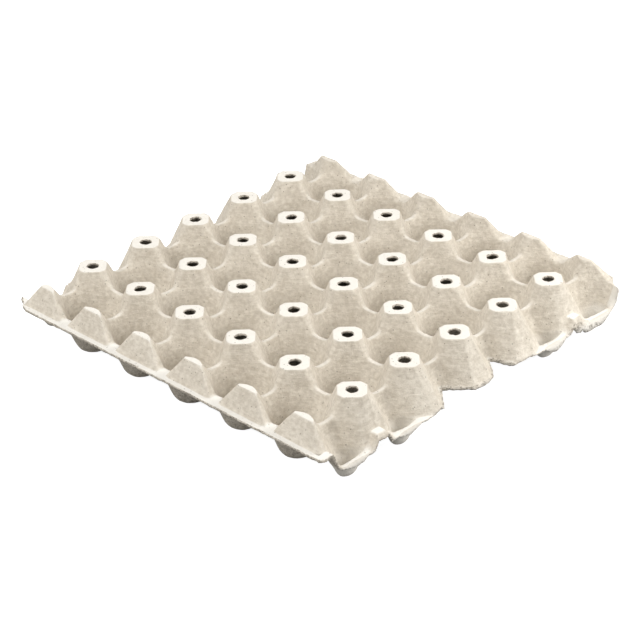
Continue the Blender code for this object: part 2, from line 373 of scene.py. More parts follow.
@dataclass
class CupCell:
    """One cup with the quarters of the four posts round it."""

    sizes: TraySizes
    at_flange: bool

    RING_ANGLES = (0, 18, 36, 54, 72, 90)

    def build(self) -> bpy.types.Object:
        """Build the cell round the origin, with its flange, if it has one, on the +Y side.

        Returns:
            The cell as an object.
        """
        sheet = Sheet()
        for side_x in (-1, 1):
            for side_y in (-1, 1):
                sheet.place = lambda u, v, z, x=side_x, y=side_y: (x * u, y * v, z)
                self.add_quarter(sheet, self.at_flange and side_y > 0)
        return sheet.finish("flange_cell" if self.at_flange else "inner_cell")

    def add_quarter(self, sheet: Sheet, flange: bool) -> None:
        """Add the quarter from the cup's middle to a post.

        Args:
            sheet: The sheet to add to.
            flange: Whether the quarter's far side is a flange with a half post.
        """
        sizes = self.sizes
        side_u = sizes.half_x - sizes.ridge_half
        side_v = sizes.half_y - (sizes.flange_inner_edge if flange else sizes.ridge_half)
        far_z = sizes.flange_z if flange else sizes.ridge_z
        far_half = sizes.flange_gap_half if flange else sizes.level_half
        near = (side_u, sizes.level_half, sizes.ridge_z)
        far = (far_half, side_v, far_z)
        rim = [(side_u, 0.0, sizes.ridge_z), near, *along(near, far, THIRDS), far,
               (0.0, side_v, far_z)]
        self.add_cup(sheet, rim)

        axis = (sizes.half_x, sizes.level_half, sizes.ridge_z)
        sheet.face((rim[0], (sizes.half_x, 0.0, sizes.ridge_z), axis, near))
        foot = [axis, *rim[1:5]]
        if flange:
            self.add_half_post(sheet, foot, rim)
        else:
            far_axis = (far_half, sizes.half_y, far_z)
            sheet.face((far, far_axis, (0.0, sizes.half_y, far_z), rim[-1]))
            top = self.from_cup(sizes.post_top(THIRDS))
            hole = self.from_cup(level_arc((0.0, 0.0), sizes.hole_radius, sizes.height,
                                           self.RING_ANGLES[::-1]))
            sheet.loft(rows_between(foot + [far_axis], top, POST_SHARES)
                       + rows_between(top, hole, HOLE_SHARES))

    def add_cup(self, sheet: Sheet, rim: Row) -> None:
        """Add a quarter of the cup.

        Args:
            sheet: The sheet to add to.
            rim: The quarter's rim, from the U axis to the V axis.
        """
        sizes = self.sizes
        middle = (0.0, 0.0)
        foot_z = sizes.thickness + sizes.foot_height
        foot = level_arc(middle, sizes.foot_radius, foot_z, self.RING_ANGLES)
        rounding_z = sizes.thickness + sizes.rounding_height
        rounding = level_arc(middle, sizes.rounding_radius, rounding_z, self.RING_ANGLES)
        floor = level_arc(middle, sizes.floor_radius, sizes.thickness, self.RING_ANGLES)
        wall = rows_between(rim, foot, WALL_SHARES[1:])
        sheet.bowl(rim, [*wall, rounding, floor], (0.0, 0.0, sizes.thickness))

    def add_half_post(self, sheet: Sheet, foot: Row, rim: Row) -> None:
        """Add half of a flange's half post, with the stretch of flange before it.

        Args:
            sheet: The sheet to add to.
            foot: The post's foot on the side of the cups.
            rim: The cup's rim.
        """
        sizes = self.sizes
        foot_v = sizes.half_y + sizes.flange_foot_shift
        corner = (sizes.flange_gap_half, foot_v, sizes.flange_z)
        base = (sizes.half_x, foot_v, sizes.flange_z)
        front = along(corner, base, THIRDS)
        local_top = sizes.half_post_top(THIRDS)
        top = self.from_cup(local_top)
        crown = self.from_cup(sizes.half_post_crown(local_top))
        side_points = len(foot)
        foot = foot + [corner, *front, base]
        columns = []
        for number, (low, high) in enumerate(zip(foot, top)):
            shares = POST_SHARES if number < side_points else FRONT_SHARES
            columns.append(along(low, high, shares))
        sheet.loft([*[list(row) for row in zip(*columns)], crown])
        sheet.zip_closed(crown)

        middle = (0.0, foot_v, sizes.flange_z)
        sheet.face((rim[-1], rim[-2], corner, middle))
        inner = [middle, corner, *front, base]
        outer = [(u, sizes.half_y + sizes.flange_width, z) for u, _, z in inner]
        sheet.loft(rows_between(inner, outer, FLANGE_SHARES))

    def from_cup(self, points: Row) -> Row:
        """Turn distances from a post's middle into distances from the cup's middle."""
        return [(self.sizes.half_x - u, self.sizes.half_y - v, z) for u, v, z in points]


@dataclass
class Margin:
    """The margin outside an end row of posts: small cups, lips, bumps and open notches.

    Points are given as u, outwards from the last ridge line, and v, from a post's middle towards
    the middle of a cell.
    """

    sizes: TraySizes
    lip_width: float = 3.5 * MM
    lip_corner_width: float = 5.2 * MM
    lip_corner_from_post: float = 12.0 * MM
    lip_end_at_bump: float = 8.0 * MM
    bump_length: float = 8.3 * MM
    bump_half: float = 3.5 * MM
    step_width: float = 0.6 * MM
    valley_from_ridge: float = 8.2 * MM
    valley_half: float = 1.3 * MM
    corner_slope: float = 11.5 * MM
    corner_chamfer: float = 3.0 * MM
    cut_from_ridge: float = 10.0 * MM
    cut_knee_from_ridge: float = 17.0 * MM
    cut_knee_width: float = 4.5 * MM
    cut_post_length: float = 4.2 * MM
    cut_foot_length: float = 17.2 * MM
    rim_drop: float = 3.4 * MM
    cup_from_ridge: float = 17.2 * MM
    cup_stretch: float = 1.6
    cup_foot_radius: float = 4.5 * MM
    cup_foot_height: float = 5.4 * MM
    cup_rounding_radius: float = 3.6 * MM
    cup_rounding_height: float = 1.6 * MM
    cup_floor_radius: float = 2.0 * MM
    cup_floor_rise: float = 2.4 * MM
    reach_between_notches: float = 24.6 * MM
    end_beside_lip: float = 1.6 * MM
    end_before_first_notch: float = 5.6 * MM
    end_after_notch: float = 9.6 * MM
    end_before_next_notch: float = 7.0 * MM
    end_after_last_notch: float = 16.4 * MM

    CUP_ANGLES = (180, 206, 231, 257, 283, 309, 334, 360)
    FACE_SHARES = (0.0, 0.06, 0.2, 0.4, 0.47, 0.6, 0.78, 0.92, 1.0)
    TOP_SHARES = (0.22, 0.44, 0.66, 0.83)
    CORNER_TOP_SHARES = (0.4, 0.65, 0.86)
    CORNER_WALL_SHARES = (0.0, 0.5, 0.88, 1.0)
    CORNER_ROW_MATCHES = ((0, 0), (2, 1), (7, 2), (8, 3))
    STEP_SHARE = 0.25
    STEP_WALL_SHARES = (0.45, 0.85, 1.0)
    LIP_TO_FOOT_SHARE = 0.8
    LIP_END_SHARE = 0.6
    BUMP_SIDE_SHARE = 0.8
    NOTCH_SIDE_SHARES = (0.25, 0.5, 0.72, 0.88)
    CUT_EDGE_SHARES = (0.3, 0.5, 0.65, 0.8, 0.88, 0.95, 1.0)
    CHAMFER_SIDE_SHARES = (0.5, 0.8, 1.0)

    def build(self) -> bpy.types.Object:
        """Build the margin of the +X end, with its last ridge line on the Y axis.

        Returns:
            The margin as an object.
        """
        sheet = Sheet()
        sizes = self.sizes
        for post in range(sizes.cups_along_y - 1):
            middle_y = (post + 1) * sizes.pitch_y - sizes.lattice_y
            for toward in (-1, 1):
                sheet.place = self.placed(middle_y, toward)
                self.add_post_half(sheet, post, toward)
        for toward in (-1, 1):
            sheet.place = self.placed(-toward * sizes.lattice_y, toward)
            self.add_corner(sheet, toward < 0)
        return sheet.finish("margin")

    @staticmethod
    def placed(middle_y: float, toward: int) -> Place:
        """Return the function that puts a point (u, v, z) of one side of a post in the margin."""
        return lambda u, v, z: (u, middle_y + toward * v, z)

    def cell_kind(self, cell: int) -> MarginCell:
        """Tell what a cell of the margin holds.

        Args:
            cell: The cell's number along Y.

        Returns:
            The kind of cell.
        """
        from_end = min(cell, self.sizes.cups_along_y - 1 - cell)
        is_cup = from_end < self.sizes.margin_cups_at_each_end
        return MarginCell.SMALL_CUP if is_cup else MarginCell.NOTCH

    def end_half_length(self, before: MarginCell, after: MarginCell, toward: int) -> float:
        """Return half the length of a post's trimmed end, on one side of its middle.

        Args:
            before: The cell on the post's -Y side.
            after: The cell on its +Y side.
            toward: The side asked for, -1 or 1.

        Returns:
            The length from the post's middle.
        """
        if (before if toward < 0 else after) is MarginCell.SMALL_CUP:
            return self.end_beside_lip
        if toward > 0:
            first = before is MarginCell.SMALL_CUP
            return self.end_before_first_notch if first else self.end_before_next_notch
        last = after is MarginCell.SMALL_CUP
        return self.end_after_last_notch if last else self.end_after_notch

    def post_foot(self, before: MarginCell, after: MarginCell, toward: int) -> Point:
        """Find the corner of a post's outer face at its foot, on one side of its middle.

        Args:
            before: The cell on the post's -Y side.
            after: The cell on its +Y side.
            toward: The side asked for, -1 or 1.

        Returns:
            The corner.
        """
        sizes = self.sizes
        if self.post_end(before, after) is PostEnd.BUMP:
            return (sizes.margin_width - self.bump_length, self.bump_half, sizes.bump_z)
        beside_cup = MarginCell.SMALL_CUP in (before, after)
        reach = sizes.margin_width if beside_cup else self.reach_between_notches
        return (reach, self.end_half_length(before, after, toward), sizes.lip_z)

    @staticmethod
    def post_end(before: MarginCell, after: MarginCell) -> PostEnd:
        """Return how a post between two cells ends."""
        between_cups = before is after is MarginCell.SMALL_CUP
        return PostEnd.BUMP if between_cups else PostEnd.TRIMMED

    def post_base(self, cell: MarginCell, foot: Point) -> Row:
        """Find the foot of a post's side, from after the valley on.

        Args:
            cell: The cell that the side faces.
            foot: The corner of the post's outer face.

        Returns:
            The side's foot, up to the corner or, beside a lip, to near it.
        """
        valley = self.valley()
        if cell is MarginCell.NOTCH:
            return along(valley, foot, self.NOTCH_SIDE_SHARES)
        corner_u = self.sizes.margin_width - self.lip_corner_width
        lip_corner = (corner_u, self.lip_corner_from_post, self.sizes.lip_z)
        return [*along(valley, lip_corner, THIRDS_TO_END),
                between(lip_corner, foot, self.LIP_TO_FOOT_SHARE)]

    def valley(self) -> Point:
        """Return the foot of the wall below a ridge, where a post's side begins."""
        sizes = self.sizes
        return (self.valley_from_ridge, sizes.half_y - self.valley_half, sizes.lip_z)

    def add_ridge(self, sheet: Sheet, top: Row) -> Row:
        """Add the outer half of an end ridge, its step and the wall below it.

        Args:
            sheet: The sheet to add to.
            top: The post's top edge, from the side that faces along v.

        Returns:
            The column of points from the top's second point down to the valley.
        """
        sizes = self.sizes
        ridge_end = sizes.half_y - sizes.level_half
        step_u = sizes.ridge_half + self.step_width
        step_z = sizes.ridge_z - sizes.step_drop
        axis = (0.0, ridge_end, sizes.ridge_z)
        corner = (sizes.ridge_half, ridge_end, sizes.ridge_z)
        step = (step_u, ridge_end, step_z)
        valley = self.valley()
        wall = along(step, valley, self.STEP_WALL_SHARES)
        below = [corner, between(corner, step, self.STEP_SHARE), step, *wall]
        middle = [(u, sizes.half_y, z) for u, _, z in below]
        sheet.loft([[axis, *below], [(0.0, sizes.half_y, sizes.ridge_z), *middle]])
        above = POST_SHARES[:0:-1]
        side = along(corner, top[1], above)
        sheet.loft([along(axis, top[0], POST_SHARES), along(corner, top[1], POST_SHARES)])
        return side + below

    def add_post_half(self, sheet: Sheet, post: int, toward: int) -> None:
        """Add half of a whole post's outer side, from its middle to a cell's middle.

        Args:
            sheet: The sheet to add to, which already places points beside this post.
            post: The post's number along Y.
            toward: The side of the post, -1 or 1.
        """
        sizes = self.sizes
        before, after = self.cell_kind(post), self.cell_kind(post + 1)
        cell = before if toward < 0 else after
        foot = self.post_foot(before, after, toward)
        reach, half, foot_z = foot
        foot_row = [foot, (reach, half / 2, foot_z), (reach, 0.0, foot_z)]
        base = self.post_base(cell, foot)

        top = sizes.post_top(self.TOP_SHARES)
        outer_top = [top[-2], between(top[-2], top[-1], 0.5), top[-1]]
        full_top = top[:-2] + outer_top
        columns = [self.add_ridge(sheet, top)]
        for upper, lower in zip(full_top[2:], base + foot_row):
            columns.append(along(upper, lower, self.FACE_SHARES))
        sheet.loft(columns)
        steps = len(full_top) - 1
        angles = [90 - 90 * step / steps for step in range(steps + 1)]
        hole = level_arc((0.0, 0.0), sizes.hole_radius, sizes.height, angles)
        sheet.loft([full_top, *rows_between(full_top, hole, HOLE_SHARES)])
        if cell is MarginCell.SMALL_CUP:
            self.add_small_cup(sheet, [self.valley(), *base[:3]], base[3:] + foot_row,
                               self.post_end(before, after))

    def add_small_cup(self, sheet: Sheet, side: Row, foot: Row, end: PostEnd) -> None:
        """Add half of a small cup with its lip, and the top of a bump beside it.

        Args:
            sheet: The sheet to add to.
            side: The cup's rim along the post, from the valley to the lip's corner.
            foot: The foot of the post's outer face, from beside the lip to the middle.
            end: How the post's outer side ends.
        """
        sizes = self.sizes
        edge = sizes.margin_width
        lip_middle = (edge - self.lip_width, sizes.half_y, sizes.lip_z)
        lip_corner = side[-1]
        lip = along(lip_corner, lip_middle, THIRDS_TO_END)
        self.add_bowl(sheet, side, lip)
        if end is PostEnd.BUMP:
            inner = [*lip[::-1], lip_corner, *foot]
            lip_end = (edge, self.lip_end_at_bump, sizes.lip_z)
            bump_corner = (edge, self.bump_half, sizes.bump_z)
            rise = [between(lip_end, bump_corner, self.BUMP_SIDE_SHARE), bump_corner]
            across = [(edge, v, z) for _, v, z in foot[2:]]
            outer_end = [lip_end, *rise, *across]
        else:
            inner = [*lip[::-1], lip_corner, foot[0], foot[1]]
            lip_end = (edge, (lip_corner[1] + foot[1][1]) / 2, sizes.lip_z)
            outer_end = [lip_end, between(lip_end, foot[1], self.LIP_END_SHARE), foot[1]]
        edge_middle = (edge, sizes.half_y, sizes.lip_z)
        outer = [edge_middle, *along(edge_middle, outer_end[0], THIRDS), *outer_end]
        sheet.loft(rows_between(inner, outer, LIP_SHARES))

    def add_bowl(self, sheet: Sheet, side: Row, lip: Row) -> None:
        """Add half of a small cup.

        Args:
            sheet: The sheet to add to.
            side: Its rim along the post's side.
            lip: Its rim along the lip.
        """
        sizes = self.sizes
        centre = (self.cup_from_ridge, sizes.half_y)
        floor_z = sizes.thickness + self.cup_floor_rise
        rings = []
        for radius, rise in ((self.cup_foot_radius, self.cup_foot_height),
                             (self.cup_rounding_radius, self.cup_rounding_height),
                             (self.cup_floor_radius, 0.0)):
            rings.append(level_arc(centre, radius, floor_z + rise, self.CUP_ANGLES,
                                   self.cup_stretch))
        rim = [(side[0][0], sizes.half_y, sizes.lip_z), *side, *lip]
        wall = rows_between(rim, rings[0], SMALL_WALL_SHARES[1:])
        sheet.bowl(rim, [*wall, *rings[1:]], (*centre, floor_z))

    def add_corner(self, sheet: Sheet, is_cut: bool) -> None:
        """Add a corner of the tray: the last half post's outer side, its cup and flange end.

        Args:
            sheet: The sheet to add to.
            is_cut: Whether the corner is trimmed slantwise.
        """
        sizes = self.sizes
        edge = sizes.margin_width
        inner_u = edge - self.lip_width
        rim_inner = (inner_u, sizes.flange_inner_edge, sizes.flange_z)
        rim_outer = (edge, sizes.flange_inner_edge, sizes.flange_z)
        lip_corner = (inner_u, self.corner_slope, sizes.lip_z)
        lip_end = (edge, self.corner_slope, sizes.lip_z)
        rise, front = self.add_corner_post(sheet, is_cut)

        wall = along(lip_corner, rim_inner, self.CORNER_WALL_SHARES)
        wall_rows = rows_between(rise, wall, (0.0, 0.5, 1.0))
        sheet.loft(wall_rows)
        lip_middle = (inner_u, sizes.half_y, sizes.lip_z)
        lip = along(lip_corner, lip_middle, THIRDS_TO_END)
        self.add_bowl(sheet, [self.valley(), rise[0], wall_rows[1][0], lip_corner], lip)
        drops = [self.rim_drop * math.sin(math.pi * share) for share in self.CORNER_WALL_SHARES]
        straight = along(lip_end, rim_outer, self.CORNER_WALL_SHARES)
        outer_wall = [(u, v, z - drop) for (u, v, z), drop in zip(straight, drops)]
        edge_middle = (edge, sizes.half_y, sizes.lip_z)
        outer = [edge_middle, *along(edge_middle, lip_end, THIRDS), *outer_wall]
        lip_rows = rows_between([*lip[::-1], *wall], outer, LIP_SHARES)
        sheet.loft(lip_rows)

        level = [*front[::-1], rise[-1], wall_rows[1][-1], *[row[-1] for row in lip_rows]]
        sheet.loft(rows_between(level, self.corner_outline(is_cut, front, rim_outer),
                                FLANGE_SHARES))

    def add_corner_post(self, sheet: Sheet, is_cut: bool) -> tuple[Row, Row]:
        """Add the outer side of the last half post, with its front and top.

        Args:
            sheet: The sheet to add to.
            is_cut: Whether the corner is trimmed slantwise.

        Returns:
            The side's foot, from the slope beside the cup up to the flange, and the front's foot,
            from its outer end to the ridge line.
        """
        sizes = self.sizes
        foot_u = self.cut_foot_length if is_cut else sizes.half_x - sizes.flange_gap_half
        foot_inner = (foot_u, sizes.flange_inner_edge, sizes.flange_z)
        foot_v = -sizes.flange_foot_shift
        foot_outer = (foot_u, foot_v, sizes.flange_z)
        base = (0.0, foot_v, sizes.flange_z)
        slope = between(self.valley(), (*foot_inner[:2], sizes.lip_z), 0.5)

        top = sizes.half_post_top(self.CORNER_TOP_SHARES)
        if is_cut:
            shortening = self.cut_post_length / sizes.half_post_length
            top = [(u * shortening, v, z) for u, v, z in top]
        rise = along(slope, foot_inner, self.CORNER_WALL_SHARES)
        columns = [self.add_ridge(sheet, top)]
        for upper, lower in zip(top[2:6], rise):
            columns.append(along(upper, lower, self.FACE_SHARES))
        sheet.loft(columns)
        front = [foot_outer, *along(foot_outer, base, THIRDS_TO_END)]
        front_rows = rows_between(top[6:], front, [1 - share for share in FRONT_SHARES[::-1]])
        sheet.loft(front_rows)
        side = [row[0] for row in front_rows]
        sheet.bridge(columns[-1], side, self.CORNER_ROW_MATCHES)
        crown = sizes.half_post_crown(top)
        sheet.loft([top, crown])
        sheet.zip_closed(crown)
        return rise, front

    def corner_outline(self, is_cut: bool, front: Row, rim_outer: Point) -> Row:
        """Return the outline of a corner's flange, from the ridge line to the lip's rim.

        Args:
            is_cut: Whether the corner is trimmed slantwise.
            front: The foot of the half post's front, from its outer end to the ridge line.
            rim_outer: The outline's last point.

        Returns:
            One point for each point of the flange's inner line.
        """
        sizes = self.sizes
        flange_v = -sizes.flange_width
        start = (0.0, flange_v, sizes.flange_z)
        if is_cut:
            first_knee = (self.cut_from_ridge, flange_v, sizes.flange_z)
            knee = (self.cut_knee_from_ridge, -self.cut_knee_width, sizes.flange_z)
            rest = along(knee, rim_outer, self.CUT_EDGE_SHARES)
            return [start, first_knee, knee, *rest]
        chamfer_end = (sizes.margin_width - self.corner_chamfer, flange_v, sizes.flange_z)
        chamfer_start = (sizes.margin_width, flange_v + self.corner_chamfer, sizes.flange_z)
        inner = [(u, flange_v, z) for u, _, z in front[2::-1]]
        return [start, *inner, between(inner[-1], chamfer_end, 0.5), chamfer_end, chamfer_start,
                *along(chamfer_start, rim_outer, self.CHAMFER_SIDE_SHARES)]


@dataclass(frozen=True)
class Band:
    """A stretch of one measure, over which a mask goes from one value to another."""

    start: float
    end: float
    before: float = 0.0
    after: float = 1.0


class Tree:
    """A node tree with short calls for its sockets, nodes and links."""

    def __init__(self, name: str, kind: str) -> None:
        """Start an empty tree.

        Args:
            name: The tree's name.
            kind: The tree's type.
        """
        self.tree = bpy.data.node_groups.new(name, kind)
        self.start = self.tree.nodes.new("NodeGroupInput")
        self.end = self.tree.nodes.new("NodeGroupOutput")

    def take(self, kind: str, *names: str) -> list[bpy.types.NodeSocket]:
        """Add inputs of one kind to the tree.

        Args:
            kind: The sockets' type.
            names: The inputs' names.

        Returns:
            Their sockets inside the tree.
        """
        for name in names:
            self.tree.interface.new_socket(name, in_out="INPUT", socket_type=kind)
        return [self.start.outputs[name] for name in names]

    def give(self, name: str, kind: str, source: bpy.types.NodeSocket) -> None:
        """Add a named output to the tree, fed by the source."""
        self.tree.interface.new_socket(name, in_out="OUTPUT", socket_type=kind)
        self.tree.links.new(source, self.end.inputs[name])

    def add(self, kind: str, inputs: dict[str | int, object] | None = None,
            **settings: object) -> bpy.types.Node:
        """Add a node.

        Args:
            kind: The node's type.
            inputs: What goes into its sockets, a socket to link or a value to set.
            settings: The node's own properties.

        Returns:
            The new node.
        """
        return add_node(self.tree, kind, inputs, **settings)

    def math(self, operation: str, *values: object) -> bpy.types.NodeSocket:
        """Return the result of a math node on the values."""
        node = self.add("ShaderNodeMath", dict(enumerate(values)), operation=operation)
        return node.outputs[0]

    def product(self, first: object, *others: object) -> bpy.types.NodeSocket:
        """Multiply two or more values.

        Args:
            first: The first value.
            others: The other values.

        Returns:
            Their product.
        """
        for other in others:
            first = self.math("MULTIPLY", first, other)
        return first

    def greatest(self, first: object, *others: object) -> bpy.types.NodeSocket:
        """Compare two or more values.

        Args:
            first: The first value.
            others: The other values.

        Returns:
            The greatest of them.
        """
        for other in others:
            first = self.math("MAXIMUM", first, other)
        return first

    def band(self, value: bpy.types.NodeSocket, band: Band) -> bpy.types.NodeSocket:
        """Make a mask of a value.

        Args:
            value: The value.
            band: Where the mask changes. It is level before and after that.

        Returns:
            The mask's socket.
        """
        return self.add("ShaderNodeMapRange", {
            "Value": value, "From Min": band.start, "From Max": band.end,
            "To Min": band.before, "To Max": band.after}).outputs[0]

    def mix(self, factor: bpy.types.NodeSocket, first: bpy.types.NodeSocket,
            second: bpy.types.NodeSocket) -> bpy.types.NodeSocket:
        """Return the colour between two colours."""
        inputs = {"Factor": factor, 6: first, 7: second}
        return self.add("ShaderNodeMix", inputs, data_type="RGBA").outputs[2]

    def apart(self, vector: bpy.types.NodeSocket) -> Sequence[bpy.types.NodeSocket]:
        """Return the X, Y and Z of a vector."""
        return self.add("ShaderNodeSeparateXYZ", {0: vector}).outputs


class GeometryTree(Tree):
    """A Geometry Nodes tree with short calls for points, instances and its dressed end."""

    def __init__(self, name: str) -> None:
        """Start an empty tree with this name."""
        super().__init__(name, "GeometryNodeTree")

    def here(self) -> bpy.types.NodeSocket:
        """Return each point's place."""
        return self.add("GeometryNodeInputPosition").outputs[0]

    def mark(self, name: str) -> bpy.types.NodeSocket:
        """Return each point's value of a named attribute."""
        node = self.add("GeometryNodeInputNamedAttribute", {"Name": name}, data_type="FLOAT")
        return node.outputs[0]

    def move_inside(self, geometry: bpy.types.NodeSocket,
                    place: bpy.types.NodeSocket) -> bpy.types.NodeSocket:
        """Move points, but no further than a box with named corners.

        Args:
            geometry: What is moved.
            place: Where each point goes.

        Returns:
            The moved geometry's socket.
        """
        low, high = self.take("NodeSocketVector", "Box Low", "Box High")
        kept = self.vector("MAXIMUM", self.vector("MINIMUM", place, high), low)
        moved = self.add("GeometryNodeSetPosition", {"Geometry": geometry, "Position": kept})
        return moved.outputs[0]

    def give_dressed(self, geometry: bpy.types.NodeSocket) -> None:
        """Give the geometry as the tree's output, made real and dressed in a named material.

        Args:
            geometry: What the tree has made.
        """
        [material] = self.take("NodeSocketMaterial", "Material")
        real = self.add("GeometryNodeRealizeInstances", {0: geometry})
        dressed = self.add("GeometryNodeSetMaterial", {0: real.outputs[0], "Material": material})
        self.give("Geometry", "NodeSocketGeometry", dressed.outputs[0])

    def vector(self, operation: str, *values: object) -> bpy.types.NodeSocket:
        """Return the vector that a vector math node makes of the values."""
        node = self.add("ShaderNodeVectorMath", dict(enumerate(values)), operation=operation)
        return node.outputs[0]

    def scaled(self, vector: object, factor: object) -> bpy.types.NodeSocket:
        """Return the vector times the factor."""
        inputs = {0: vector, "Scale": factor}
        return self.add("ShaderNodeVectorMath", inputs, operation="SCALE").outputs[0]

    def set_out(self, source: bpy.types.NodeSocket, points: bpy.types.NodeSocket,
                selection: object, turned: object) -> bpy.types.NodeSocket:
        """Set an object on points.

        Args:
            source: The object.
            points: The points.
            selection: Which of them are used.
            turned: 1 where it is turned half round, 0 elsewhere.

        Returns:
            The socket of the instances.
        """
        shape = self.add("GeometryNodeObjectInfo", {"Object": source, "As Instance": True})
        turn = self.add("ShaderNodeCombineXYZ", {"Z": self.product(turned, math.pi)})
        made = self.add("GeometryNodeInstanceOnPoints", {
            "Points": points, "Selection": selection, "Instance": shape.outputs["Geometry"],
            "Rotation": turn.outputs[0]})
        return made.outputs[0]

    def welded(self, parts: Sequence[bpy.types.NodeSocket],
               distance: bpy.types.NodeSocket) -> bpy.types.NodeSocket:
        """Weld instances into one smooth sheet and mark its open edges as trimmed.

        Args:
            parts: The instances.
            distance: How near points are welded.

        Returns:
            The sheet's socket.
        """
        joined = self.add("GeometryNodeJoinGeometry")
        for part in parts:
            self.tree.links.new(part, joined.inputs[0])
        real = self.add("GeometryNodeRealizeInstances", {0: joined.outputs[0]})
        sheet = self.add("GeometryNodeMergeByDistance", {
            "Geometry": real.outputs[0], "Distance": distance})
        neighbours = self.add("GeometryNodeInputMeshEdgeNeighbors")
        is_open = self.add("FunctionNodeCompare", {2: neighbours.outputs[0], 3: 1},
                           data_type="INT", operation="EQUAL")
        on_edges = self.add("GeometryNodeFieldOnDomain", {0: is_open.outputs[0]},
                            data_type="BOOLEAN", domain="EDGE")
        stored = self.add("GeometryNodeStoreNamedAttribute", {
            "Geometry": sheet.outputs[0], "Name": TRIMMED, "Value": on_edges.outputs[0]},
            data_type="FLOAT", domain="POINT")
        return self.add("GeometryNodeSetShadeSmooth", {0: stored.outputs[0]}).outputs[0]


def add_node(tree: bpy.types.NodeTree, kind: str, inputs: dict[str | int, object] | None = None,
             **settings: object) -> bpy.types.Node:
    """Add a node to a tree.

    Args:
        tree: The tree to add to.
        kind: The node's type.
        inputs: What goes into its sockets, a socket to link or a value to set.
        settings: The node's own properties.

    Returns:
        The new node.
    """
    node = tree.nodes.new(kind)
    for name, value in settings.items():
        setattr(node, name, value)
    for key, value in (inputs or {}).items():
        if isinstance(value, bpy.types.NodeSocket):
            tree.links.new(value, node.inputs[key])
        else:
            node.inputs[key].default_value = value
    return node


def run_tree(target: bpy.types.Object, tree: bpy.types.NodeTree, values: dict[str, object]) -> None:
    """Run a Geometry Nodes tree on an object and keep its result as the object's own mesh.

    Args:
        target: The object, whose mesh is replaced.
        tree: The tree to run.
        values: The tree's named inputs.
    """
    modifier = target.modifiers.new(tree.name, "NODES")
    modifier.node_group = tree
    for item in tree.interface.items_tree:
        if item.item_type == "SOCKET" and item.in_out == "INPUT" and item.name in values:
            modifier[item.identifier] = values[item.name]
    bake_modifiers(target)


def bake_modifiers(target: bpy.types.Object) -> None:
    """Turn what an object's modifiers make into its own plain mesh.

    Args:
        target: The object.
    """
    graph = bpy.context.evaluated_depsgraph_get()
    made = bpy.data.meshes.new_from_object(target.evaluated_get(graph), depsgraph=graph)
    made.name = target.name
    target.modifiers.clear()
    target.data = made


@dataclass(frozen=True)
class PulpFinish:
    """Matt, fibrous moulded pulp in one colour."""

    name: str
    colour: tuple[float, float, float]
    mottle: tuple[float, float, float]
    # The colour that the painted highlights mix towards.
    pale: tuple[float, float, float]
    # Colour of the specks and of the dark pitting, which on faces that look down is also painted
    # shade.
    speck_and_shade: tuple[float, float, float]
    roughness: float = 0.93
    specular: float = 0.25
    bump: float = 0.9
    bump_depth: float = 1.0 * MM

    def material(self, grain: bpy.types.NodeTree) -> bpy.types.Material:
        """Build the finish's material.

        Args:
            grain: The shared shader group of the pulp's grain.

        Returns:
            The material.
        """
        made = bpy.data.materials.new(self.name)
        made.use_nodes = True
        tree = made.node_tree
        shader = tree.nodes["Principled BSDF"]
        shader.inputs["Roughness"].default_value = self.roughness
        shader.inputs["Specular IOR Level"].default_value = self.specular
        where = add_node(tree, "ShaderNodeTexCoord")
        group = add_node(tree, "ShaderNodeGroup", node_tree=grain)
        tree.links.new(where.outputs["Object"], group.inputs["Vector"])
        tree.links.new(where.outputs["Normal"], group.inputs["Normal"])
        for name in (TRIMMED, EDGE_WEAR_AND_HIGHLIGHT):
            mark = add_node(tree, "ShaderNodeAttribute", attribute_name=name)
            tree.links.new(mark.outputs["Fac"], group.inputs[name.title()])
        colours = (self.colour, self.mottle, self.pale, self.speck_and_shade)
        for name, colour in zip(PulpGrain.COLOURS, colours):
            group.inputs[name].default_value = (*colour, 1.0)
        tree.links.new(group.outputs["Colour"], shader.inputs["Base Color"])
        bump = add_node(tree, "ShaderNodeBump", {"Height": group.outputs["Height"]})
        bump.inputs["Strength"].default_value = self.bump
        bump.inputs["Distance"].default_value = self.bump_depth
        tree.links.new(bump.outputs["Normal"], shader.inputs["Normal"])
        return made


@dataclass(frozen=True)
class Noise:
    """A noise texture with features of one size."""

    scale: float
    detail: float
    roughness: float = 0.6

    def value(self, tree: Tree, where: bpy.types.NodeSocket) -> bpy.types.NodeSocket:
        """Add the texture to a tree.

        Args:
            tree: The tree to add to.
            where: The places in the tray.

        Returns:
            The socket of its value.
        """
        inputs = {"Vector": where, "Scale": self.scale, "Detail": self.detail,
                  "Roughness": self.roughness}
        return tree.add("ShaderNodeTexNoise", inputs).outputs["Fac"]


@dataclass(frozen=True)
class Specks:
    """Scattered specks of one size."""

    scale: float
    radius: float
    left_out: float
    strength: float

    def mask(self, tree: Tree, where: bpy.types.NodeSocket) -> bpy.types.NodeSocket:
        """Make the mask of the specks, some of them left out by lot.

        Args:
            tree: The tree to add to.
            where: The places in the tray.

        Returns:
            The mask's socket.
        """
        cells = tree.add("ShaderNodeTexVoronoi", {"Vector": where, "Scale": self.scale})
        inside = tree.math("LESS_THAN", cells.outputs["Distance"], self.radius)
        lot = tree.add("ShaderNodeSeparateColor", {"Color": cells.outputs["Color"]}).outputs[0]
        kept = tree.math("GREATER_THAN", lot, self.left_out)
        return tree.product(inside, kept, self.strength)


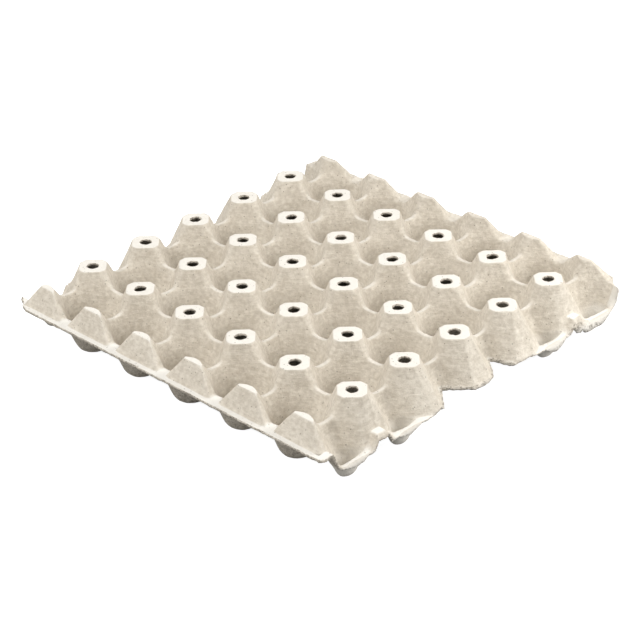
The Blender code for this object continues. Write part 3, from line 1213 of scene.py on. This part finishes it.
@dataclass(frozen=True)
class PulpGrain:
    """What all pulp shares: mottling, level streaks, specks, pitting, painted shade and highlights.

    Bands along X, Y or Z are places in the tray, in metres. The other bands are of masks, of
    noise or of how much a face looks up, from -1 to 1.
    """

    clouds: Noise = Noise(45.0, detail=3.0)
    blotches: Noise = Noise(330.0, detail=4.0)
    fibres: Noise = Noise(1500.0, detail=3.0)
    streaks: Noise = Noise(900.0, detail=3.0)
    streak_stretch: Point = (0.2, 0.2, 1.0)
    pits_and_shade: Noise = Noise(800.0, detail=2.0)

    cloud_share: float = 0.25
    blotch_share: float = 0.45
    streak_share: float = 0.25
    contrast: Band = Band(0.4, 0.6)
    coarse: Specks = Specks(330.0, 0.15, 0.62, 0.65)
    fine: Specks = Specks(760.0, 0.2, 0.78, 0.35)

    # Painted highlight on faces that look up: full on flanges and lips, weaker round the ridges,
    # stronger on the post tops and weaker at the far flange.
    level: Band = Band(0.74, 0.95)
    below_ridges_z: Band = Band(30.9 * MM, 31.5 * MM, before=1.0, after=0.35)
    above_ridges_z: Band = Band(36.0 * MM, 40.0 * MM, after=0.8)
    far_flange_y: Band = Band(125.0 * MM, 129.0 * MM)
    far_loss: float = 0.8
    # Crisp edges painted paler: a painted edge highlight, partly wear.
    edge_wear_and_highlight_power: float = 1.5
    edge_wear_and_highlight_share: float = 0.75
    # Painted highlight on the rim band at the far corner.
    rim_x: Band = Band(142.4 * MM, 143.0 * MM)
    rim_z: Band = Band(16.0 * MM, 18.0 * MM)
    rim_highlight_share: float = 0.65
    # Outer sides of the small cups: a painted highlight, and none of the painted shade on faces
    # that look down.
    small_cups_x: Band = Band(128.0 * MM, 136.0 * MM)
    small_cups_z: Band = Band(14.0 * MM, 18.0 * MM, before=1.0, after=0.0)
    small_cups_highlight_share: float = 0.7

    torn: Band = Band(0.7, 1.0)
    # Faces that look down get dark pitting: a rough underside, and painted shade under the tray.
    upright: Band = Band(-0.25, 0.0, before=0.75, after=0.0)
    pit_edge: Band = Band(0.5, 0.62)
    pit_and_shade_share: float = 0.75
    pit_depth: float = 0.4
    blotch_height: float = 0.6
    fibre_height: float = 0.3
    streak_height: float = 0.35

    COLOURS = ("Colour", "Mottle Colour", "Pale Colour", "Speck Colour")

    def group(self) -> bpy.types.NodeTree:
        """Build the shader group, which gives a colour and a height.

        Returns:
            The group.
        """
        tree = Tree("pulp_grain", "ShaderNodeTree")
        where, normal = tree.take("NodeSocketVector", "Vector", "Normal")
        trimmed, worn = tree.take("NodeSocketFloat", TRIMMED.title(), EDGE_WEAR_AND_HIGHLIGHT.title())
        colour, mottle, pale, speck_and_shade = tree.take("NodeSocketColor", *self.COLOURS)

        clouds = self.clouds.value(tree, where)
        blotches = self.blotches.value(tree, where)
        fibres = self.fibres.value(tree, where)
        flattened = tree.add("ShaderNodeMapping", {"Vector": where, "Scale": self.streak_stretch})
        streaks = self.streaks.value(tree, flattened.outputs["Vector"])
        shade = tree.math("MULTIPLY_ADD", blotches, self.blotch_share,
                          tree.product(clouds, self.cloud_share))
        shade = tree.math("MULTIPLY_ADD", streaks, self.streak_share, shade)

        looks_up = tree.apart(normal)[2]
        x, y, z = tree.apart(where)
        # Outer sides of the small cups: a painted highlight, and none of the painted shade on faces
        # that look down.
        small_cups = tree.product(tree.band(tree.math("ABSOLUTE", x), self.small_cups_x),
                                  tree.band(z, self.small_cups_z))
        far = tree.band(y, self.far_flange_y)
        # Painted highlight on the far corner's rim band.
        far_rim_highlight = tree.product(tree.band(x, self.rim_x), tree.band(z, self.rim_z), far)
        # Crisp edges painted paler: a painted edge highlight, partly wear.
        edge_wear_and_highlight_mask = tree.math("POWER", worn, self.edge_wear_and_highlight_power)
        # All painted highlights: on faces that look up, on crisp edges, on the far corner's rim
        # band and on the small cups' outer sides.
        painted_highlights = tree.greatest(self.painted_top_highlight(tree, looks_up, z, far),
                             tree.product(edge_wear_and_highlight_mask, self.edge_wear_and_highlight_share),
                             tree.product(far_rim_highlight, self.rim_highlight_share),
                             tree.product(small_cups, self.small_cups_highlight_share))
        dots = tree.greatest(self.coarse.mask(tree, where), self.fine.mask(tree, where))
        # Dark pitting on faces that look down: a rough underside, and painted shade under the tray.
        down = tree.product(tree.band(looks_up, self.upright),
                            tree.math("SUBTRACT", 1.0, small_cups))
        holes = tree.band(self.pits_and_shade.value(tree, where), self.pit_edge)
        pits_and_shade = tree.product(holes, tree.greatest(tree.band(trimmed, self.torn), down))

        mottled = tree.mix(tree.band(shade, self.contrast), mottle, colour)
        specked = tree.mix(dots, tree.mix(painted_highlights, mottled, pale), speck_and_shade)
        pitted = tree.mix(tree.product(pits_and_shade, self.pit_and_shade_share), specked, speck_and_shade)
        height = tree.math("MULTIPLY_ADD", fibres, self.fibre_height,
                           tree.product(blotches, self.blotch_height))
        height = tree.math("MULTIPLY_ADD", streaks, self.streak_height, height)
        height = tree.math("MULTIPLY_ADD", pits_and_shade, -self.pit_depth, height)
        tree.give("Colour", "NodeSocketColor", pitted)
        tree.give("Height", "NodeSocketFloat", height)
        return tree.tree

    def painted_top_highlight(self, tree: Tree, looks_up: bpy.types.NodeSocket, z: bpy.types.NodeSocket,
                  far: bpy.types.NodeSocket) -> bpy.types.NodeSocket:
        """Return the painted highlight on faces that look up, weaker on ridges and at the far
        flange.

        Args:
            tree: The group's tree.
            looks_up: How much a face looks up.
            z: The height.
            far: The mask of the far flange.

        Returns:
            The mask's socket.
        """
        paleness = tree.greatest(tree.band(z, self.below_ridges_z),
                                 tree.band(z, self.above_ridges_z))
        kept = tree.math("MULTIPLY_ADD", far, -self.far_loss, 1.0)
        return tree.product(tree.band(looks_up, self.level), paleness, kept)


def lattice_tree() -> bpy.types.NodeTree:
    """Build the tree that sets out cells and margins, and welds them into one sheet.

    Returns:
        The tree.
    """
    tree = GeometryTree("tray_lattice")
    inner, flange, margin = tree.take("NodeSocketObject", "Inner Cell", "Flange Cell", "Margin")
    along_x, along_y = tree.take("NodeSocketInt", "Cups Along X", "Cups Along Y")
    pitch_x, pitch_y, weld = tree.take("NodeSocketFloat", "Pitch X", "Pitch Y", "Weld Distance")

    span_x = tree.product(tree.math("SUBTRACT", along_x, 1.0), pitch_x)
    span_y = tree.product(tree.math("SUBTRACT", along_y, 1.0), pitch_y)
    grid = tree.add("GeometryNodeMeshGrid", {"Size X": span_x, "Size Y": span_y,
                                             "Vertices X": along_x, "Vertices Y": along_y})
    x, y, _ = tree.apart(tree.here())
    far = tree.math("SUBTRACT", tree.product(span_y, 0.5), tree.product(pitch_y, 0.5))
    is_last = tree.math("GREATER_THAN", tree.math("ABSOLUTE", y), far)
    is_inner = tree.math("SUBTRACT", 1.0, is_last)
    is_front = tree.math("LESS_THAN", y, 0.0)
    cells = tree.set_out(inner, grid.outputs["Mesh"], is_inner, 0.0)
    flange_cells = tree.set_out(flange, grid.outputs["Mesh"], is_last, is_front)

    reach = tree.product(along_x, 0.5, pitch_x)
    right = tree.add("ShaderNodeCombineXYZ", {"X": reach})
    left = tree.add("ShaderNodeCombineXYZ", {"X": tree.product(reach, -1.0)})
    ends = tree.add("GeometryNodeMeshLine", {"Count": 2, "Start Location": right.outputs[0],
                                             "Offset": left.outputs[0]}, mode="END_POINTS")
    is_left = tree.math("LESS_THAN", x, 0.0)
    margins = tree.set_out(margin, ends.outputs["Mesh"], True, is_left)
    tree.give_dressed(tree.welded((cells, flange_cells, margins), weld))
    return tree.tree


def surface_tree() -> bpy.types.NodeTree:
    """Build the tree that makes the smooth sheet wavy and rough, with frayed trimmed edges.

    Returns:
        The tree.
    """
    tree = GeometryTree("pulp_surface")
    [shape] = tree.take("NodeSocketGeometry", "Geometry")
    wave_size, grain_size, fray_size = tree.take(
        "NodeSocketFloat", "Wave Size", "Grain Size", "Fray Size")
    wave_height, grain_depth, fray_depth = tree.take(
        "NodeSocketFloat", "Wave Height", "Grain Depth", "Fray Depth")
    [seed] = tree.take("NodeSocketFloat", "Seed")
    place = tree.here()

    def noise(size: bpy.types.NodeSocket, detail: float) -> bpy.types.Node:
        """Add a noise texture.

        Args:
            size: The size of its features, in metres.
            detail: The texture's detail.

        Returns:
            The texture's node.
        """
        scale = tree.math("DIVIDE", 1.0, size)
        inputs = {"Vector": place, "W": seed, "Scale": scale, "Detail": detail}
        return tree.add("ShaderNodeTexNoise", inputs, noise_dimensions="4D")

    def centred(texture: bpy.types.Node, depth: object) -> bpy.types.NodeSocket:
        """Return a shift in all directions, up to the given depth."""
        shift = tree.vector("SUBTRACT", texture.outputs["Color"], (0.5, 0.5, 0.5))
        return tree.scaled(shift, tree.product(depth, 2.0))

    wave = centred(noise(wave_size, detail=1.0), wave_height)
    fray = centred(noise(fray_size, detail=3.0), tree.product(fray_depth, tree.mark(TRIMMED)))
    normal = tree.add("GeometryNodeInputNormal").outputs[0]
    dents = tree.math("SUBTRACT", noise(grain_size, detail=4.0).outputs["Fac"], 0.5)
    grain = tree.scaled(normal, tree.product(dents, grain_depth))
    shift = tree.vector("ADD", wave, tree.vector("ADD", fray, grain))
    tree.give_dressed(tree.move_inside(shape, tree.vector("ADD", place, shift)))
    return tree.tree


def fibre_tree() -> bpy.types.NodeTree:
    """Build the tree that sets loose fibres on a sheet's trimmed edges.

    Returns:
        The tree.
    """
    tree = GeometryTree("loose_fibres")
    [sheet] = tree.take("NodeSocketObject", "Sheet")
    [seed] = tree.take("NodeSocketInt", "Seed")
    density, length, radius, rise = tree.take(
        "NodeSocketFloat", "Fibres per Square Metre", "Fibre Length", "Fibre Radius", "Rise Share")
    least, lean, edge_mark = tree.take("NodeSocketFloat", "Least Size", "Lean", "Edge Mark")

    source = tree.add("GeometryNodeObjectInfo", {"Object": sheet})
    is_edge = tree.math("GREATER_THAN", tree.mark(TRIMMED), edge_mark)
    points = tree.add("GeometryNodeDistributePointsOnFaces", {
        "Mesh": source.outputs["Geometry"], "Selection": is_edge, "Density": density,
        "Seed": seed})

    half = tree.product(length, 0.5)
    bend = tree.add("ShaderNodeCombineXYZ", {"X": tree.product(half, 0.5), "Z": half})
    tip = tree.add("ShaderNodeCombineXYZ", {"X": half, "Z": tree.product(length, rise)})
    curve = tree.add("GeometryNodeCurveQuadraticBezier", {
        "Resolution": 3, "Start": (0.0, 0.0, 0.0), "Middle": bend.outputs[0],
        "End": tip.outputs[0]})
    ring = tree.add("GeometryNodeCurvePrimitiveCircle", {"Resolution": 3, "Radius": radius})
    fibre = tree.add("GeometryNodeCurveToMesh", {
        0: curve.outputs[0], "Profile Curve": ring.outputs[0], "Fill Caps": True})

    back = tree.product(lean, -1.0)
    first = tree.add("ShaderNodeCombineXYZ", {"X": back, "Y": back})
    last = tree.add("ShaderNodeCombineXYZ", {"X": lean, "Y": lean, "Z": math.tau})
    turns = tree.add("FunctionNodeRandomValue", {
        0: first.outputs[0], 1: last.outputs[0], "Seed": seed}, data_type="FLOAT_VECTOR")
    sizes = tree.add("FunctionNodeRandomValue", {2: least, 3: 1.0, "Seed": seed},
                     data_type="FLOAT")
    placed = tree.add("GeometryNodeInstanceOnPoints", {
        "Points": points.outputs["Points"], "Instance": fibre.outputs[0],
        "Rotation": turns.outputs[0], "Scale": sizes.outputs[1]})
    real = tree.add("GeometryNodeRealizeInstances", {0: placed.outputs[0]})
    tree.give_dressed(tree.move_inside(real.outputs[0], tree.here()))
    return tree.tree


@dataclass(frozen=True)
class Sag:
    """A place where the trimmed sheet hangs, bulges or has been pushed in."""

    x: float
    y: float
    reach: float
    shift: tuple[float, float, float]
    edge_only: bool = False

    def apply(self, mesh: bpy.types.Mesh) -> None:
        """Move the mesh's points near the place, most of all at its middle.

        Args:
            mesh: The mesh, with its trimmed edges marked.
        """
        marks = mesh.attributes[TRIMMED].data
        for vertex in mesh.vertices:
            distance = math.hypot(vertex.co.x - self.x, vertex.co.y - self.y) / self.reach
            if distance < 1.0 and (marks[vertex.index].value > 0.5 or not self.edge_only):
                vertex.co += Vector(self.shift) * (1.0 - distance * distance) ** 2


@dataclass(frozen=True)
class EdgeFinish:
    """How crisp the sheet's edges are, and how far its trimmed edges hang."""

    sharp_angle: float = math.radians(30.0)
    sharp_crease: float = 0.7
    foot_angle: float = math.radians(42.0)
    foot_crease: float = 0.75
    soft_from_edge: float = 5.5 * MM
    lip_hang: float = 0.6 * MM
    cup_hang: float = 3.6 * MM
    cup_hang_half: float = 10.0 * MM
    bump_hang: float = 3.6 * MM
    end_flare: float = 2.0 * MM
    end_lift: float = 0.5 * MM
    corner_rounding: float = 0.8
    corner_wall: float = 11.2 * MM
    step_angle: float = math.radians(12.0)
    ridge_crease: float = 0.35
    rim_width: float = 3.5 * MM
    fold_angle: float = math.radians(38.0)
    fold_crease: float = 0.75
    tolerance: float = 0.1 * MM
    edge_tolerance: float = 0.3 * MM
    near_bump: float = 1.0 * MM

    def apply(self, mesh: bpy.types.Mesh, sizes: TraySizes) -> None:
        """Crease the mesh's crisp edges and lower its trimmed edges.

        Args:
            mesh: The mesh.
            sizes: The tray's sizes.
        """
        work = bmesh.new()
        work.from_mesh(mesh)
        layer = work.edges.layers.float.new("crease_edge")
        worn = work.verts.layers.float.new(EDGE_WEAR_AND_HIGHLIGHT)
        for edge in work.edges:
            if edge.is_manifold:
                edge[layer] = self.crease(edge, sizes)
                # Both ends of a crisp edge are marked for the painted edge highlight, partly wear.
                if edge[layer] == self.sharp_crease:
                    edge.verts[0][worn] = edge.verts[1][worn] = 1.0
        shifts = {vertex: self.shift(vertex, sizes) for vertex in work.verts if vertex.is_boundary}
        for vertex, shift in shifts.items():
            vertex.co += shift
        work.normal_update()
        outside = sizes.edge_x - self.rim_width + self.tolerance
        for edge in work.edges:
            is_outside = all(abs(vertex.co.x) > outside for vertex in edge.verts)
            if is_outside and edge.is_manifold:
                if edge.calc_face_angle_signed(0.0) > self.fold_angle:
                    edge[layer] = self.fold_crease
        work.to_mesh(mesh)
        work.free()

    def crease(self, edge: bmesh.types.BMEdge, sizes: TraySizes) -> float:
        """Tell how crisp an edge between two faces is.

        Args:
            edge: The edge.
            sizes: The tray's sizes.

        Returns:
            The crease, from 0 to 1.
        """
        angle = edge.calc_face_angle_signed(0.0)
        at_lip = self.is_level(edge, sizes.lip_z)
        if self.is_rim(edge, sizes) and not at_lip:
            return self.sharp_crease
        if angle > self.sharp_angle and self.is_level(edge, sizes.ridge_z):
            return self.ridge_crease
        if angle > self.sharp_angle:
            is_inside = abs(edge.verts[0].co.x) < sizes.edge_x - self.soft_from_edge
            return 0.0 if at_lip and is_inside else self.sharp_crease
        at_foot = self.is_level(edge, sizes.flange_z) and angle < -self.foot_angle
        at_step = self.is_level(edge, sizes.ridge_z - sizes.step_drop) and angle < -self.step_angle
        return self.foot_crease if at_foot or at_step else 0.0

    def is_rim(self, edge: bmesh.types.BMEdge, sizes: TraySizes) -> bool:
        """Tell whether an edge is the inner line of a corner's rim.

        Args:
            edge: The edge.
            sizes: The tray's sizes.

        Returns:
            True if both its ends lie on that line.
        """
        rim = sizes.edge_x - self.rim_width
        lowest = sizes.lip_z - self.tolerance
        return all(abs(abs(vertex.co.x) - rim) < self.tolerance and vertex.co.z > lowest
                   for vertex in edge.verts)

    def is_level(self, edge: bmesh.types.BMEdge, z: float) -> bool:
        """Return whether both ends of the edge lie at the height z."""
        return all(abs(vertex.co.z - z) < self.tolerance for vertex in edge.verts)

    def shift(self, vertex: bmesh.types.BMVert, sizes: TraySizes) -> Vector:
        """Return how far a trimmed edge's point is moved.

        Args:
            vertex: The point.
            sizes: The tray's sizes.

        Returns:
            The shift: down at lips and bumps, outwards at the trimmed ends of posts.
        """
        place = vertex.co
        is_high = place.z > sizes.bump_z + self.near_bump
        if is_high or abs(place.y) > sizes.lattice_y - self.corner_wall:
            return Vector()
        if place.z > sizes.bump_z - self.near_bump:
            return Vector((0.0, 0.0, -self.bump_hang))
        notches_half = sizes.lattice_y - sizes.margin_cups_at_each_end * sizes.pitch_y
        at_edge = abs(place.x) > sizes.edge_x - self.edge_tolerance
        if at_edge and abs(place.y) > notches_half + self.tolerance:
            along_cell = (place.y + sizes.lattice_y) % sizes.pitch_y - sizes.half_y
            share = 1.0 - (along_cell / self.cup_hang_half) ** 2
            return Vector((0.0, 0.0, -self.lip_hang - self.cup_hang * max(share, 0.0)))
        sides, inner = [], []
        for edge in vertex.link_edges:
            (sides if edge.is_boundary else inner).append(edge.other_vert(vertex).co)
        outwards = place - inner[0] if inner and not at_edge else Vector()
        outwards.z = 0.0
        rounding = ((sides[0] + sides[1]) / 2 - place) * self.corner_rounding
        return outwards.normalized() * self.end_flare + rounding + Vector((0.0, 0.0, self.end_lift))


@dataclass(frozen=True)
class FlangeSlip:
    """How far the straight flanges have slipped along the tray, with the half posts' fronts."""

    length: float = 3.3 * MM
    rise: float = 6.5 * MM
    fade_at_ends: float = 30.0 * MM

    def apply(self, mesh: bpy.types.Mesh, sizes: TraySizes) -> None:
        """Move the mesh's points along X, the more the nearer they are to a flange.

        Args:
            mesh: The mesh.
            sizes: The tray's sizes.
        """
        for vertex in mesh.vertices:
            share = (abs(vertex.co.y) - sizes.lattice_y) / self.rise + 1.0
            share = min(max(share, 0.0), 1.0)
            kept = min((sizes.edge_x - abs(vertex.co.x)) / self.fade_at_ends, 1.0)
            slip = self.length * share * share * (3.0 - 2.0 * share) * max(kept, 0.0)
            vertex.co.x -= math.copysign(slip, vertex.co.y)


@dataclass(frozen=True)
class Tear:
    """A place where the trimmed edges are frayed more than elsewhere."""

    x: float
    y: float
    reach: float
    times: float

    def apply(self, mesh: bpy.types.Mesh) -> None:
        """Strengthen the trimmed edges' mark near the place.

        Args:
            mesh: The mesh, with its trimmed edges marked.
        """
        marks = mesh.attributes[TRIMMED].data
        for vertex in mesh.vertices:
            distance = math.hypot(vertex.co.x - self.x, vertex.co.y - self.y) / self.reach
            if distance < 1.0:
                marks[vertex.index].value *= 1.0 + (self.times - 1.0) * (1.0 - distance * distance)


@dataclass
class PulpTray:
    """The whole tray: cells and margins welded into one sheet, thickened, softened and frayed."""

    sizes: TraySizes
    finish: PulpFinish
    low: Vector
    high: Vector
    wave_size: float = 38.0 * MM
    wave_height: float = 0.6 * MM
    grain_size: float = 4.0 * MM
    grain_depth: float = 0.8 * MM
    fray_size: float = 3.4 * MM
    fray_depth: float = 0.95 * MM
    seed: float = 3.0
    sags: tuple[Sag, ...] = ()
    tears: tuple[Tear, ...] = ()
    edges: EdgeFinish = EdgeFinish()
    slip: FlangeSlip = FlangeSlip()
    rim_crease: float = 0.85
    rounding_levels: int = 1

    def build(self, grain: bpy.types.NodeTree) -> bpy.types.Object:
        """Return the finished tray.

        Args:
            grain: The shader group of the pulp's grain.

        Returns:
            The tray, in its place in the frame.
        """
        sizes = self.sizes
        cells = (CupCell(sizes, False).build(), CupCell(sizes, True).build(), Margin(sizes).build())
        material = self.finish.material(grain)
        tray = bpy.data.objects.new("pulp_sheet", bpy.data.meshes.new("pulp_sheet"))
        bpy.context.scene.collection.objects.link(tray)
        run_tree(tray, lattice_tree(), {
            "Inner Cell": cells[0], "Flange Cell": cells[1], "Margin": cells[2],
            "Cups Along X": sizes.cups_along_x, "Cups Along Y": sizes.cups_along_y,
            "Pitch X": sizes.pitch_x, "Pitch Y": sizes.pitch_y, "Weld Distance": WELD_DISTANCE,
            "Material": material})
        for cell in cells:
            bpy.data.objects.remove(cell, do_unlink=True)
        log.info("cage of %d faces", len(tray.data.polygons))
        self.edges.apply(tray.data, sizes)
        self.slip.apply(tray.data, sizes)
        for wear in (*self.sags, *self.tears):
            wear.apply(tray.data)
        self.thicken(tray)
        run_tree(tray, surface_tree(), {
            "Wave Size": self.wave_size, "Wave Height": self.wave_height,
            "Grain Size": self.grain_size, "Grain Depth": self.grain_depth,
            "Fray Size": self.fray_size, "Fray Depth": self.fray_depth,
            "Box Low": self.low, "Box High": self.high, "Seed": self.seed, "Material": material})
        return tray

    def thicken(self, tray: bpy.types.Object) -> None:
        """Give the sheet its thickness below, and round its edges.

        Args:
            tray: The sheet.
        """
        wall = tray.modifiers.new("pulp_thickness", "SOLIDIFY")
        wall.thickness = self.sizes.thickness
        wall.offset = -1.0
        wall.use_even_offset = True
        wall.use_quality_normals = True
        wall.edge_crease_outer = self.rim_crease
        wall.edge_crease_inner = self.rim_crease
        wall.edge_crease_rim = self.rim_crease
        rounding = tray.modifiers.new("soft_rounding", "SUBSURF")
        rounding.levels = self.rounding_levels
        rounding.render_levels = self.rounding_levels
        bake_modifiers(tray)


@dataclass
class LooseFibres:
    """Short fibres that stand off the trimmed edges."""

    finish: PulpFinish
    low: Vector
    high: Vector
    per_square_metre: float = 260000.0
    length: float = 1.6 * MM
    radius: float = 0.06 * MM
    rise_share: float = 0.6
    least_size: float = 0.35
    lean: float = 1.2
    edge_mark: float = 0.9
    seed: int = 11

    def build(self, tray: bpy.types.Object, grain: bpy.types.NodeTree) -> bpy.types.Object:
        """Return the fibres of the tray's edges as one mesh.

        Args:
            tray: The finished tray.
            grain: The shader group of the pulp's grain.

        Returns:
            The fibres.
        """
        fibres = bpy.data.objects.new("loose_fibres", bpy.data.meshes.new("loose_fibres"))
        bpy.context.scene.collection.objects.link(fibres)
        run_tree(fibres, fibre_tree(), {
            "Sheet": tray, "Fibres per Square Metre": self.per_square_metre,
            "Fibre Length": self.length, "Fibre Radius": self.radius,
            "Rise Share": self.rise_share, "Least Size": self.least_size, "Lean": self.lean,
            "Edge Mark": self.edge_mark,
            "Box Low": self.low, "Box High": self.high, "Seed": self.seed,
            "Material": self.finish.material(grain)})
        return fibres


@dataclass(frozen=True)
class Lamp:
    """A soft square lamp that shines on the tray."""

    name: str
    place: Point
    size: float
    power: float

    def build(self) -> None:
        """Make the lamp and turn it to the tray."""
        lamp = bpy.data.lights.new(self.name, "AREA")
        lamp.size = self.size
        lamp.energy = self.power
        holder = bpy.data.objects.new(self.name, lamp)
        holder.location = self.place
        holder.rotation_euler = (-Vector(self.place)).to_track_quat("-Z", "Y").to_euler()
        bpy.context.scene.collection.objects.link(holder)


@dataclass
class Studio:
    """A pale floor, a white background and soft lamps."""

    lamps: tuple[Lamp, ...] = (Lamp("back", (-1.0, 0.55, 0.6), size=1.2, power=5.0),
                               Lamp("front", (-0.2, -1.05, 1.35), size=1.3, power=26.0),
                               Lamp("side", (0.62, 0.46, 0.38), size=0.5, power=6.7))
    floor_half: float = 6.0
    floor_colour: tuple[float, float, float] = (0.34, 0.34, 0.34)
    floor_glow: float = 0.95
    # The floor does not glow within this box below the tray: painted shade there, over the real
    # shadow.
    covered_half_x: float = 0.114
    covered_half_y: float = 0.120
    covered_edge: Band = Band(0.9, 1.0)
    world_strength: float = 0.4

    def build(self) -> None:
        """Make the floor, the world and the lamps."""
        self.add_floor()
        self.add_world()
        for lamp in self.lamps:
            lamp.build()

    def add_floor(self) -> None:
        """Make the floor, which looks white and keeps the tray's soft shadow, with painted shade
        below the tray.
        """
        half = self.floor_half
        mesh = bpy.data.meshes.new("floor")
        corners = [(-half, -half, 0.0), (half, -half, 0.0), (half, half, 0.0), (-half, half, 0.0)]
        mesh.from_pydata(corners, [], [(0, 1, 2, 3)])
        floor = bpy.data.objects.new("floor", mesh)
        bpy.context.scene.collection.objects.link(floor)
        material = bpy.data.materials.new("studio_floor")
        material.use_nodes = True
        tree = material.node_tree
        shader = tree.nodes["Principled BSDF"]
        shader.inputs["Base Color"].default_value = (*self.floor_colour, 1.0)
        shader.inputs["Roughness"].default_value = 1.0
        shader.inputs["Specular IOR Level"].default_value = 0.0
        seen = add_scaled_view(tree, self.floor_glow, 0.0)
        strength = add_node(tree, "ShaderNodeMath", {0: seen, 1: self.add_open_floor(tree)},
                            operation="MULTIPLY")
        glow = add_node(tree, "ShaderNodeEmission", {"Strength": strength.outputs[0]})
        both = add_node(tree, "ShaderNodeAddShader", {0: shader.outputs[0], 1: glow.outputs[0]})
        tree.links.new(both.outputs[0], tree.nodes["Material Output"].inputs["Surface"])
        mesh.materials.append(material)

    def add_open_floor(self, tree: bpy.types.NodeTree) -> bpy.types.NodeSocket:
        """Make a mask that is 0 below the tray and 1 on the open floor round it. The floor does not
        glow where it is 0: painted shade below the tray.

        Args:
            tree: The floor material's tree.

        Returns:
            The mask's socket.
        """
        where = add_node(tree, "ShaderNodeTexCoord").outputs["Object"]
        apart = add_node(tree, "ShaderNodeSeparateXYZ", {0: where})
        shares = []
        for axis, half in (("X", self.covered_half_x), ("Y", self.covered_half_y)):
            distance = add_node(tree, "ShaderNodeMath", {0: apart.outputs[axis]},
                                operation="ABSOLUTE")
            shares.append(add_node(tree, "ShaderNodeMath", {0: distance.outputs[0], 1: half},
                                   operation="DIVIDE").outputs[0])
        outermost = add_node(tree, "ShaderNodeMath", dict(enumerate(shares)), operation="MAXIMUM")
        return add_node(tree, "ShaderNodeMapRange", {
            "Value": outermost.outputs[0], "From Min": self.covered_edge.start,
            "From Max": self.covered_edge.end}, interpolation_type="SMOOTHSTEP").outputs[0]

    def add_world(self) -> None:
        """Light the scene evenly from all round, with a white background."""
        world = bpy.data.worlds.new("studio_world")
        world.use_nodes = True
        strength = add_scaled_view(world.node_tree, 1.0 - self.world_strength, self.world_strength)
        background = world.node_tree.nodes["Background"]
        background.inputs["Color"].default_value = (1.0, 1.0, 1.0, 1.0)
        world.node_tree.links.new(strength, background.inputs["Strength"])
        bpy.context.scene.world = world


def add_scaled_view(tree: bpy.types.NodeTree, extra: float, always: float) -> bpy.types.NodeSocket:
    """Return a strength that is greater where it is seen directly or in a reflection.

    Args:
        tree: The tree to add the nodes to.
        extra: What is added for camera, glossy and transmission rays.
        always: What every ray gets.

    Returns:
        The strength's socket.
    """
    path = add_node(tree, "ShaderNodeLightPath")
    seen = path.outputs["Is Camera Ray"]
    for name in ("Is Glossy Ray", "Is Transmission Ray"):
        seen = add_node(tree, "ShaderNodeMath", {0: seen, 1: path.outputs[name]},
                        operation="MAXIMUM").outputs[0]
    return add_node(tree, "ShaderNodeMath", {0: seen, 1: extra, 2: always},
                    operation="MULTIPLY_ADD").outputs[0]


@dataclass(frozen=True)
class PhotoCamera:
    """The camera at the photograph's angle."""

    place: Point = (0.842557, -0.832506, 0.670829)
    aim: Point = (-0.009078, 0.009546, 0.0)
    roll: float = math.radians(-1.8747)
    lens: float = 112.86
    sensor: float = 36.0

    def build(self) -> None:
        """Make the camera and hand it to the scene."""
        data = bpy.data.cameras.new("photo_camera")
        data.lens = self.lens
        data.sensor_width = self.sensor
        camera = bpy.data.objects.new("photo_camera", data)
        place = Vector(self.place)
        upright = (Vector(self.aim) - place).to_track_quat("-Z", "Y").to_matrix()
        turn = upright @ Matrix.Rotation(self.roll, 3, "Z")
        camera.matrix_world = Matrix.Translation(place) @ turn.to_4x4()
        bpy.context.scene.collection.objects.link(camera)
        bpy.context.scene.camera = camera


SAGS = (
    # Torn end of the flange, and the near corner
    Sag(-0.1440, -0.1440, 0.016, (0.0005, 0.0020, -0.0030)),
    Sag(0.1475, -0.1420, 0.006, (-0.0012, 0.0003, -0.0016)),
    # Half post and tip of the far corner
    Sag(0.1208, 0.1380, 0.020, (0.0, 0.0, -0.0013)),
    Sag(0.1475, 0.1470, 0.014, (-0.0020, -0.0060, -0.0005)),
    # Bump by the far corner, and the lips on both its sides
    Sag(0.1475, 0.0705, 0.014, (0.0, 0.0, -0.0030), edge_only=True),
    Sag(0.1475, 0.0955, 0.0085, (0.0, 0.0, -0.0085), edge_only=True),
    Sag(0.1475, 0.1050, 0.010, (0.0, 0.0, -0.0060), edge_only=True),
    Sag(0.1475, 0.1175, 0.014, (0.0, 0.0, -0.0035), edge_only=True),
)

TEARS = (
    # Near corner, and the torn end of the flange
    Tear(0.1475, -0.1420, reach=0.010, times=2.2),
    Tear(-0.1440, -0.1440, reach=0.016, times=1.8),
    # Open notches
    Tear(0.1460, -0.0235, reach=0.030, times=1.9),
    Tear(0.1460, 0.0235, reach=0.030, times=1.9),
    # Bump by the far corner
    Tear(0.1475, 0.0940, reach=0.024, times=2.4),
)


def main() -> None:
    """Build the tray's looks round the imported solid, with the studio and the camera."""
    logging.basicConfig(level=logging.INFO, format="%(name)s: %(message)s")
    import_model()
    bpy.context.scene.view_settings.view_transform = "Standard"
    low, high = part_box(TRAY_NODE)
    sizes = TraySizes.from_solid(low, high)
    PhotoCamera().build()
    Studio().build()

    grain = PulpGrain().group()
    # The lightest colour is the one the painted highlights mix towards; the darkest is for the
    # specks and the painted shade.
    pulp = PulpFinish("moulded_pulp", colour=(0.685, 0.63, 0.54), mottle=(0.51, 0.455, 0.375),
                      pale=(0.75, 0.72, 0.66), speck_and_shade=(0.22, 0.19, 0.15))
    tray = PulpTray(sizes, pulp, low, high, sags=SAGS, tears=TEARS).build(grain)
    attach(tray, BODY)
    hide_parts(TRAY_NODE)
    log.info("pulp sheet: %d faces", len(tray.data.polygons))

    # The same for the fibres: the lightest colour for the painted highlights, the darkest for the
    # specks and the painted shade.
    fibre = PulpFinish("pulp_fibres", colour=(0.74, 0.70, 0.62), mottle=(0.62, 0.58, 0.5),
                       pale=(0.76, 0.73, 0.67), speck_and_shade=(0.3, 0.27, 0.22))
    fibres = LooseFibres(fibre, low, high).build(tray, grain)
    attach(fibres, BODY)
    log.info("loose fibres: %d faces", len(fibres.data.polygons))


if __name__ == "__main__":
    main()
